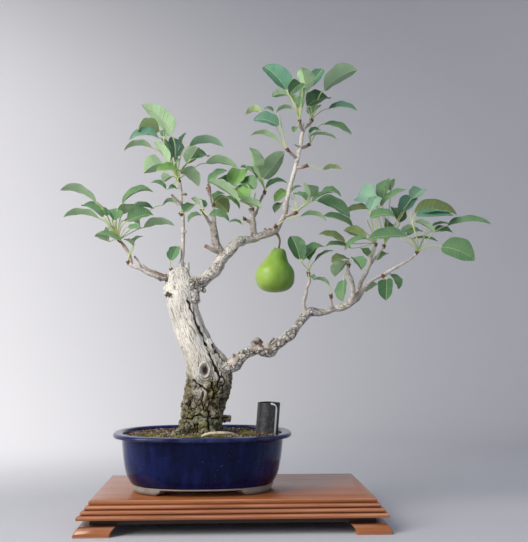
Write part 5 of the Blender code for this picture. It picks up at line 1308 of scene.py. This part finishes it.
LOOKS = {  # colours of the upper face and the under face
    "green": ((0.102, 0.232, 0.107), (0.339, 0.497, 0.294)),
    "teal": ((0.062, 0.215, 0.141), (0.271, 0.475, 0.305)),
    "pale": ((0.226, 0.418, 0.305), (0.384, 0.565, 0.429)),
    # a bluer green: partly the leaf's own tint, partly a painted sheen of the sky on glossy leaves
    "blue": ((0.079, 0.232, 0.169), (0.305, 0.508, 0.339)),
    "yellow": ((0.339, 0.475, 0.158), (0.520, 0.655, 0.305)),
    "olive": ((0.119, 0.169, 0.051), (0.226, 0.305, 0.113)),
    "bright": ((0.186, 0.390, 0.096), (0.384, 0.588, 0.226)),
    "folded": ((0.107, 0.232, 0.119), (0.305, 0.452, 0.282)),
    "dark": ((0.032, 0.113, 0.051), (0.181, 0.328, 0.147)),
}
ROSETTES = {  # what a tuft grows from, where, which way, and its leaves:
    # (x, z, tip x, tip z, depth, how square it faces the front, width, arch, look)
    "far_left_leaves": ("left_branch", (-132, 423, -4), (-0.6, 0.8, 0.1), (
        (-170, 483, -227, 504, -8, -0.45, 22, 10, "folded"), (-130, 483, -82, 503, 4, 0.35, 22, 11),
        (-165, 458, -221, 461, -4, -0.4, 20, 7), (-160, 461, -193, 480, -14, 0.5, 22, 3),
        (-155, 463, -164, 473, -22, 0.5, 12, 1), (-142, 456, -151, 474, -18, 0.8, 22, 2),
        (-140, 465, -100, 471, 14, -0.6, 20, 3), (-120, 472, -80, 475, 22, 0.35, 18, 5),
        (-122, 455, -81, 466, -12, 0.7, 22, 3), (-126, 456, -101, 449, -2, -0.4, 14, 2),
        (-96, 445, -48, 449, 8, -0.5, 20, 5), (-121, 446, -100, 444, -20, 0.5, 12, -3),
        (-150, 423, -172, 432, 8, -0.7, 16, 2), (-131, 424, -171, 434, -12, 0.45, 15, 3),
        (-150, 437, -158, 438, -4, 0.8, 9, 1), (-141, 435, -150, 447, 2, 0.8, 10, 1),
        (-67, 481, -42, 480, 12, -0.4, 12, 8),
    )),
    "lower_left_leaves": ("left_branch", (-118, 388, -10), (-0.3, 0.9, -0.3), (
        (-112, 417, -126, 427, -16, -0.4, 11, -2), (-111, 417, -97, 432, -14, -0.35, 11, -4),
    )),
    "trunk_leaf": ("trunk", (-51, 377, 0), (-0.4, 0.9, -0.1), ((-53, 393, -43, 416, -4, 0.9, 16, 2),)),
    "shoot_leaf": ("left_shoot", (-37, 466, 6), (-0.5, 0.8, -0.4), (
        (-33, 470, -17, 484, -4, 0.7, 16, -2),
    )),
    "left_top_leaves": ("left_shoot", (-41, 520, 6), (-0.5, 0.85, 0.0), (
        (-55, 595, -102, 644, 8, -0.85, 27, 12), (-74, 601, -108, 602, 22, -0.9, 26, 6, "yellow"),
        (-75, 590, -121, 587, -6, 0.5, 20, 8, "blue"), (-85, 573, -129, 570, -14, -0.35, 18, 6),
        (-58, 549, -84, 585, -20, -0.6, 16, 2), (-57, 554, -74, 592, -2, 0.4, 18, 2),
        (-49, 558, -51, 591, 14, 0.9, 22, 1, "blue"), (-40, 579, -31, 599, 20, -0.35, 14, 1),
        (-26, 577, 29, 576, 2, -0.5, 22, 10, "blue"), (-29, 549, -12, 576, -10, -0.9, 20, 2, "folded"),
        (-20, 556, 4, 561, -16, 0.6, 20, 5, "folded"), (0, 549, 52, 541, -4, -0.55, 20, 8),
        (-38, 538, -10, 512, -12, -0.75, 22, 7), (-42, 537, -78, 536, -20, 0.5, 20, 1, "bright"),
        (-68, 549, -97, 533, 10, -0.9, 26, 5), (-55, 528, -66, 518, 2, -0.8, 15, 1),
        (-62, 507, -85, 518, -6, 0.35, 12, 2), (-45, 508, -58, 507, -14, 0.6, 8, 1),
        (-67, 592, -66, 604, -14, 0.8, 8, 1), (-48, 550, -41, 556, -22, 0.8, 8, 1),
    )),
    "mid_left_leaves": ("mid_left_twig", (-4, 472, -21), (-0.4, 0.9, -0.2), (
        (-9, 482, -22, 493, -24, -0.8, 8, 1), (-2, 478, -8, 492, -30, 0.5, 10, 1),
        (-6, 466, -27, 455, -25, 0.4, 12, 3), (6, 465, 39, 457, -38, 0.6, 15, 5),
    )),
    "mid_leaves": ("mid_left_twig", (13, 481, -15), (0.1, 0.95, 0.1), (
        (5, 514, 35, 538, -4, 0.5, 18, 5), (13, 491, 37, 470, 0, -0.9, 22, 3, "olive"),
        (10, 487, 31, 501, -10, 0.5, 14, 3), (31, 495, 55, 477, -8, 0.4, 12, 2),
    )),
    "middle_twig_leaves": ("middle_twig", (75.5, 474, -3), (-0.2, 0.95, -0.1), (
        (53, 490, 4, 522, -34, -0.6, 18, 3), (44, 513, 57, 541, -6, 0.9, 26, 2, "bright"),
        (42, 517, 20, 524, 0, 0.5, 14, 3), (79, 508, 59, 525, -14, 0.9, 20, 2),
        (68, 491, 47, 510, -22, 0.9, 22, 2, "bright"), (54, 488, 91, 477, -26, -0.6, 15, 3),
    )),
    "twig_bud_leaf": ("middle_twig", (63, 460, -6), (-0.8, 0.4, -0.4), (
        (58, 452, 38, 455, -16, 0.35, 8, 2),
    )),
    "leaning_twig_leaves": ("leaning_twig", (94, 502, 8), (0.2, 0.95, 0.1), (
        (82, 526, 56, 545, -4, 0.2, 18, 3), (79, 539, 70, 577, 6, -0.6, 26, 2, "folded"),
        (92, 526, 126, 570, 4, -0.85, 26, 3, "folded"), (88, 526, 81, 547, -8, -0.9, 18, 1),
        (96, 510, 130, 520, 24, 0.5, 13, 6),
    )),
    "limb_bud_leaf": ("upper_limb", (111, 448, -2), (0.6, 0.7, -0.3), (
        (151, 465, 193, 459, -12, -0.4, 13, 6),
    )),
    "spur_leaves": ("upper_limb", (143, 470, -6), (0.6, 0.7, -0.3), (
        (167, 496, 163, 517, -14, -0.9, 20, 2), (185, 505, 217, 499, 6, 0.5, 14, 4),
        (170, 489, 203, 505, -20, 0.3, 12, 2), (178, 491, 231, 464, -10, 0.6, 26, 6),
        (161, 491, 140, 501, -22, 0.35, 15, 3), (137, 505, 153, 514, 12, 0.3, 8, 1),
        (129, 506, 110, 488, 18, 0.9, 14, 2, "bright"), (121, 486, 110, 471, 16, 0.7, 12, 1),
    )),
    "limb_side_leaf": ("upper_limb", (160, 547, -8), (0.9, 0.2, -0.3), (
        (187, 541, 219, 542, -12, -0.5, 13, 3, "yellow"),
    )),
    "left_spur_leaves": ("upper_limb", (132, 572, -8), (-0.6, 0.8, -0.2), (
        (117, 612, 76, 622, -16, 0.7, 22, 5, "blue"), (116, 585, 72, 597, -10, -0.4, 15, 7),
        (91, 634, 64, 631, 8, -0.6, 15, 5, "yellow"), (109, 637, 93, 640, -2, 0.6, 7, 1),
    )),
    "right_spur_leaves": ("upper_limb", (164, 581, 13), (0.7, 0.7, 0.2), (
        (168, 632, 182, 648, 18, 0.6, 18, 2), (190, 616, 235, 600, 24, 0.5, 15, 6),
        (166, 601, 185, 606, 8, 0.4, 11, 3), (168, 597, 211, 592, 14, -0.3, 12, 4),
    )),
    "apex_left_leaves": ("upper_limb", (151, 619, -3), (-0.1, 0.95, -0.2), (
        (129, 672, 93, 712, -8, 0.8, 30, 5, "teal"), (131, 665, 106, 661, 6, -0.7, 15, 2),
        (154, 684, 134, 665, -14, 0.9, 18, 1, "dark"), (147, 642, 134, 665, 2, -0.8, 15, 1),
        (154, 643, 159, 678, -8, 0.6, 12, 1), (161, 671, 154, 711, -2, -0.95, 24, 1),
        (139, 640, 112, 634, -10, -0.35, 13, 4), (147, 611, 141, 602, -12, 0.7, 10, 1),
    )),
    "apex_right_leaves": ("upper_limb", (170, 621, 12), (0.3, 0.9, 0.2), (
        (163, 646, 199, 660, 4, 0.7, 26, 6, "dark"), (166, 677, 189, 709, 14, 0.8, 20, 2, "teal"),
        (191, 674, 246, 709, 10, -0.75, 30, 7, "folded"), (198, 642, 245, 640, 20, 0.4, 18, 6, "blue"),
    )),
    "low_twig_leaves": ("low_twig", (163.5, 372, -9), (0.0, 0.95, -0.1), (
        (150, 396, 136, 434, -18, 0.95, 22, 2, "dark"), (154, 395, 188, 418, -2, 0.6, 20, 6),
        (165, 395, 178, 417, -12, 0.6, 14, 1), (174, 394, 203, 411, -6, 0.25, 10, 2),
        (165, 369, 174, 365, -18, 0.6, 8, 1),
    )),
    "nub_leaf": ("lower_limb", (199, 337, 4), (-0.1, 0.95, -0.1), ((196, 356, 171, 365, 2, -0.35, 11, 2),)),
    "front_fork_leaves": ("fork_front", (227, 385, -16), (0.1, 0.95, -0.2), (
        (226, 398, 201, 391, -24, 0.5, 18, 2, "olive"), (222, 394, 205, 369, -30, -0.7, 22, 2),
        (219, 364, 218, 330, -34, 0.7, 20, 1), (236, 400, 248, 381, -26, 0.8, 18, 2),
    )),
    "middle_fork_leaves": ("fork_middle", (271, 420, 15), (0.1, 0.95, 0.1), (
        (256, 430, 220, 444, -6, -0.8, 17, 2, "olive"), (222, 424, 180, 437, -12, 0.5, 17, 3, "olive"),
        (257, 431, 221, 412, -16, 0.5, 13, 4), (231, 415, 191, 419, 0, 0.4, 12, 2),
        (257, 402, 248, 415, -4, 0.7, 13, 1), (235, 449, 188, 467, 6, 0.5, 16, 3),
        (262, 478, 222, 471, 14, 0.4, 20, 2, "olive"), (264, 476, 274, 498, -8, 0.9, 18, 1, "pale"),
        (270, 494, 244, 500, 10, 0.9, 30, 3, "pale"), (262, 464, 305, 466, -16, 0.6, 18, 4),
    )),
    "back_fork_leaves": ("fork_back", (284, 417, 34), (0.3, 0.9, 0.2), (
        (284, 496, 290, 527, 30, 0.8, 22, 2), (297, 509, 298, 527, 40, -0.9, 16, 1),
        (280, 483, 322, 511, 20, 0.4, 18, 3), (317, 473, 331, 501, 28, 0.9, 24, 2, "blue"),
        (310, 457, 302, 481, 36, 0.8, 22, 1), (290, 440, 288, 463, 42, 0.6, 20, 1),
        (330, 495, 347, 512, 38, 0.9, 20, 2, "pale"), (273, 396, 291, 407, 46, 0.6, 13, 1),
    )),
    "right_fork_leaves": ("fork_right", (336, 407, -20), (0.5, 0.85, -0.1), (
        (334, 473, 404, 471, 2, 0.6, 28, 9, "olive"), (337, 467, 398, 470, -14, 0.5, 20, -4, "blue"),
        (388, 452, 459, 456, -6, 0.4, 20, 7), (362, 450, 390, 456, 8, 0.25, 9, 1),
        (364, 443, 396, 442, 12, 0.6, 13, 1), (335, 459, 368, 440, -26, -0.6, 12, 3),
        (377, 418, 431, 397, -24, 0.9, 30, 6), (322, 434, 259, 430, -36, 0.6, 22, 2),
        (322, 436, 347, 443, 4, 0.5, 14, 2), (332, 431, 372, 427, 14, 0.25, 10, 1),
        (312, 434, 333, 451, -8, -0.6, 13, 2),
    )),
    "hanging_leaves": ("fork_right", (282, 371, -14), (0.3, -0.7, -0.5), (
        (288, 366, 286, 332, -22, 0.95, 20, 1, "dark"), (293, 374, 307, 350, -8, 0.6, 15, 4),
        (272, 358, 252, 345, -2, -0.7, 13, 1),
    )),
}
BLADE_THICK = 0.36 * MM
WIDER = 1.2  # a blade curves out past the flat width it is listed with
ACROSS_STEPS, ALONG_STEPS = 10, 42
OUTLINE = curved((
    (0.0, 0.02), (0.03, 0.32), (0.10, 0.68), (0.21, 0.91), (0.36, 1.0), (0.54, 1.0), (0.70, 0.90),
    (0.83, 0.69), (0.92, 0.41), (0.97, 0.16), (1.0, 0.0),
), 10)
OUTLINE_AT, OUTLINE_WIDE = [point[0] for point in OUTLINE], [max(0.0, point[1]) for point in OUTLINE]
STALK_TOLD = (0.0, 0.0, 0.0, 0.5, 0.0, 0.3, 0.4, 0.2)
BUD_TOLD = (0.0, 0.0, 0.0, 0.5, 0.0, 0.1, 0.05, 0.03)
SPUR_RINGS = (  # (along the bud, radius) in mm
    (-2.5, 2.3), (-1.5, 2.5), (-0.6, 2.4), (0.3, 2.6), (1.2, 2.5), (2.1, 2.6), (3.0, 2.2), (3.8, 1.4),
)
SCALES = 7


def leaf_lie(x, z, tip_x, tip_z, depth, facing, width):
    """The blade's base, tip, and its directions across and out of the upper face."""
    seen_length = math.hypot(tip_x - x, tip_z - z)
    length = max(seen_length, 2.0 * width)
    away = math.sqrt(max(0.0, length**2 - seen_length**2))
    if (facing > 0) != (tip_z > z):
        away = -away
    base = seen(x, z, depth)
    tip = seen(tip_x, tip_z, depth + 0.8 * away)
    along = (tip - base).normalized()
    to_viewer = (FRONT_VIEW - base).normalized()
    face_on = (to_viewer - along * along.dot(to_viewer)).normalized()
    edge_on = along.cross(face_on)
    turn = math.acos(max(-1.0, min(1.0, facing)))
    ways = [face_on * math.cos(turn) + edge_on * math.sin(turn) * side for side in (-1, 1)]
    outward = max(ways, key=lambda way: way.z)
    return base, tip, along.cross(outward).normalized(), outward


leaf_finish = Finish("pear_leaf", {"IOR": 1.45, "Specular IOR Level": 0.45})
off, along = leaf_finish.carried("off_midrib"), leaf_finish.carried("along")
share_out, own = leaf_finish.carried("share_out"), leaf_finish.carried("own")
under = leaf_finish.carried("under_face")
tone = leaf_finish.carried("tone", "Color")
midrib = 1 - off.between(0.18, 0.62)
vein_steps = along * 9.5 - share_out * 1.25 + own * 0.6
fishbone = vein_steps.maths("PINGPONG", vein_steps, 0.5)
side_vein = (1 - fishbone.between(0.03, 0.16)) * (1 - share_out.between(0.75, 0.98))
net_vein = 1 - leaf_finish.cells("DISTANCE_TO_EDGE", leaf_finish.place(), 620.0).between(0.02, 0.12)
blotch = leaf_finish.cloud(EVEN, 90.0, 3.0)
scorch = (share_out + along * 0.3 + blotch * 0.5).between(1.42, 1.62)
spots = leaf_finish.cloud(EVEN, 300.0, 2.0).between(0.70, 0.74)
colour = leaf_finish.over(
    tone,
    (blotch.between(0.3, 0.75) * 0.4, leaf_finish.blend(0.5, tone, (0.23, 0.33, 0.07))),
    (share_out.between(0.0, 1.0) * 0.16 * (1 - under), (0.02, 0.09, 0.03)),
    (side_vein * 0.09 + net_vein * 0.06, (0.36, 0.50, 0.20)),
    (midrib * 0.75, (0.50, 0.60, 0.28)),
    (scorch * own.between(0.6, 0.9) * 0.8, (0.13, 0.075, 0.025)),
    (spots * 0.5, (0.12, 0.09, 0.03)),
)
relief = (0.5 - under) * 2.0 * (0 - side_vein * 0.6 - midrib - net_vein * 0.25) + blotch * 0.5
PEAR_LEAF = leaf_finish.show(colour, 0.40 + under * 0.28 + blotch * 0.14, relief, 0.45 * MM)

green_stalk = Finish("leaf_stalk", {"Specular IOR Level": 0.35})
blush = green_stalk.cloud(EVEN, 60.0, 2.0)
colour = green_stalk.blend(blush.between(0.4, 0.7), (0.44, 0.56, 0.22), (0.58, 0.56, 0.28))
LEAF_STALK = green_stalk.show(colour, 0.5, blush, 0.3 * MM)

bud_scale = Finish("bud_scale", {"Specular IOR Level": 0.3})
husk = bud_scale.cloud(EVEN, 500.0, 4.0, 0.7)
colour = bud_scale.blend(husk, (0.05, 0.022, 0.014), (0.27, 0.15, 0.09))
BUD_SCALE = bud_scale.show(colour, 0.8, husk, 0.6 * MM)


def leaf_blade(shape, base, tip, across, outward, width, arch, upright, told, own, look):
    """A thin closed blade with its fold, arch, ripple and teeth; told gets a row per vertex."""
    up = Vector((0.0, 0.0, 1.0)) if upright else Vector((1.0, 0.0, 0.0))
    rise = up * arch * 0.62 + outward * 2
    fold = 0.34 + 0.2 * own
    width *= WIDER
    twist = (own - 0.5) * 0.5
    rings = []
    upper, lower = LOOKS[look]
    shade = 0.86 + 0.28 * ((own * 7.3) % 1.0)
    for j in range(ALONG_STEPS + 1):
        t = j / ALONG_STEPS
        middle = base.lerp(tip, t) + rise * MM * 4 * t * (1 - t)
        half = width * MM / 2 * np.interp(t, OUTLINE_AT, OUTLINE_WIDE)
        half *= 1.0 + 0.05 * math.sin(t * 9 + own * 20)
        tooth = 0.22 * MM * ((j % 2) * 2 - 1) * min(1.0, 6 * t * (1 - t))
        tip_curl = -1.2 * MM * smooth(t, 0.8, 1.0) * own
        turn = twist * (t - 0.4)
        side = across * math.cos(turn) + outward * math.sin(turn)
        out = outward * math.cos(turn) - across * math.sin(turn)
        rows = ([], [])
        for k in range(ACROSS_STEPS + 1):
            u = k / ACROSS_STEPS * 2 - 1
            wave = math.sin(t * 17 + own * 30 + (1.7 if u > 0 else 0.0))
            reach = half * u + (tooth * abs(u) ** 8 * (1 if u > 0 else -1))
            lift = half * fold * abs(u) ** 1.35
            lift += 0.55 * MM * wave * abs(u) ** 2 * min(1.0, width / 18)
            lift += tip_curl - 0.3 * MM * math.exp(-((u * half / MM) / 0.7) ** 2)
            spot = middle + side * reach + out * lift
            thick = out * BLADE_THICK / 2 * (1.0 + 1.1 * math.exp(-((u * half / MM) / 0.6) ** 2))
            rows[0].append(spot + out * BLADE_THICK * 0.3)
            rows[1].append(spot - thick)
        for face, tint in ((0.0, upper), (1.0, lower)):
            for k in range(ACROSS_STEPS + 1):
                u = abs(k / ACROSS_STEPS * 2 - 1)
                told.append((u * half / MM, t, u, own, face, *(c * shade for c in tint)))
        rings.append(rows[0] + rows[1][::-1])
    skin(shape, rings)


def leaf_petiole(shape, bud, bud_way, base, along, width, told):
    """The thin stalk that curves from the bud into the blade's base."""
    onward = (base - bud).normalized()
    start = bud + onward * 1.2 * MM
    first = (onward + bud_way).normalized() if onward.dot(bud_way) > 0.2 else onward
    reach = (base - start).length
    thick = (0.52 + 0.012 * width) * MM
    line = []
    for i in range(15):
        t = i / 14
        a, b = start + first * reach * 0.35, base - along * reach * 0.25
        place = start * (1 - t) ** 3 + a * 3 * t * (1 - t) ** 2 + b * 3 * t * t * (1 - t) + base * t**3
        flare = 1 + 0.9 * max(0.0, 1 - t * 9) + 0.15 * t
        line.append((place, thick * flare))
    line.append((base + along * 2.5 * MM, thick * 0.55))
    before = len(shape.verts)
    tube(shape, line, 8)
    told += [STALK_TOLD] * (len(shape.verts) - before)


for name, (branch, seat, way, leaves) in ROSETTES.items():
    place = seen(*seat)
    bud_way = Vector((way[0], way[2], way[1])).normalized()
    bud = place + bud_way * 3.6 * MM
    shape = bmesh.new()
    told = []
    lies = [(leaf_lie(*leaf[:7]), leaf) for leaf in leaves]
    for (base, tip, across, outward), (x, z, tip_x, tip_z, _, _, width, arch, *look) in lies:
        own = dice.random()
        upright = abs(tip_x - x) > abs(tip_z - z)
        tint = look[0] if look else "green"
        leaf_blade(shape, base, tip, across, outward, width, arch, upright, told, own, tint)
    blade_faces = len(shape.faces)
    for (base, tip, _, _), leaf in lies:
        leaf_petiole(shape, bud, bud_way, base, (tip - base).normalized(), leaf[6], told)
    stalk_faces = len(shape.faces)
    # the bud: a short ringed spur and a ruff of dry scales round the stalks
    before = len(shape.verts)
    swells = [(step, radius * (1 + 0.12 * math.sin(step * 6))) for step, radius in SPUR_RINGS]
    tube(shape, [(place + bud_way * step * MM, radius * MM) for step, radius in swells], 12)
    turn = Vector((0.0, 0.0, 1.0)).rotation_difference(bud_way)
    for i in range(SCALES):
        angle = 2 * math.pi * i / SCALES + dice.random()
        out_way = turn @ Vector((math.cos(angle), math.sin(angle), 0.0))
        foot = place + bud_way * dice.uniform(0.5, 2.5) * MM + out_way * 1.9 * MM
        crest = foot + bud_way * dice.uniform(2.2, 3.8) * MM + out_way * dice.uniform(0.1, 1.2) * MM
        belly = foot.lerp(crest, 0.5) + out_way * 0.5 * MM
        tube(shape, [(foot, 0.9 * MM), (belly, 0.8 * MM), (crest, 0.2 * MM)], 6)
    told += [BUD_TOLD] * (len(shape.verts) - before)
    shape.faces.index_update()
    for face in shape.faces:
        face.material_index = 0 if face.index < blade_faces else 1 if face.index < stalk_faces else 2
    title = name.removesuffix("_leaves").removesuffix("_leaf") + "_tuft"
    tuft = piece_of(title, shape, [PEAR_LEAF, LEAF_STALK, BUD_SCALE], [name])
    told = np.array(told, np.float32)
    mark(tuft.data, **dict(zip(("off_midrib", "along", "share_out", "own", "under_face"), told.T)))
    tones = tuft.data.color_attributes.new("tone", "FLOAT_COLOR", "POINT")
    tones.data.foreach_set("color", np.hstack((told[:, 5:8], np.ones((len(told), 1), np.float32))).ravel())
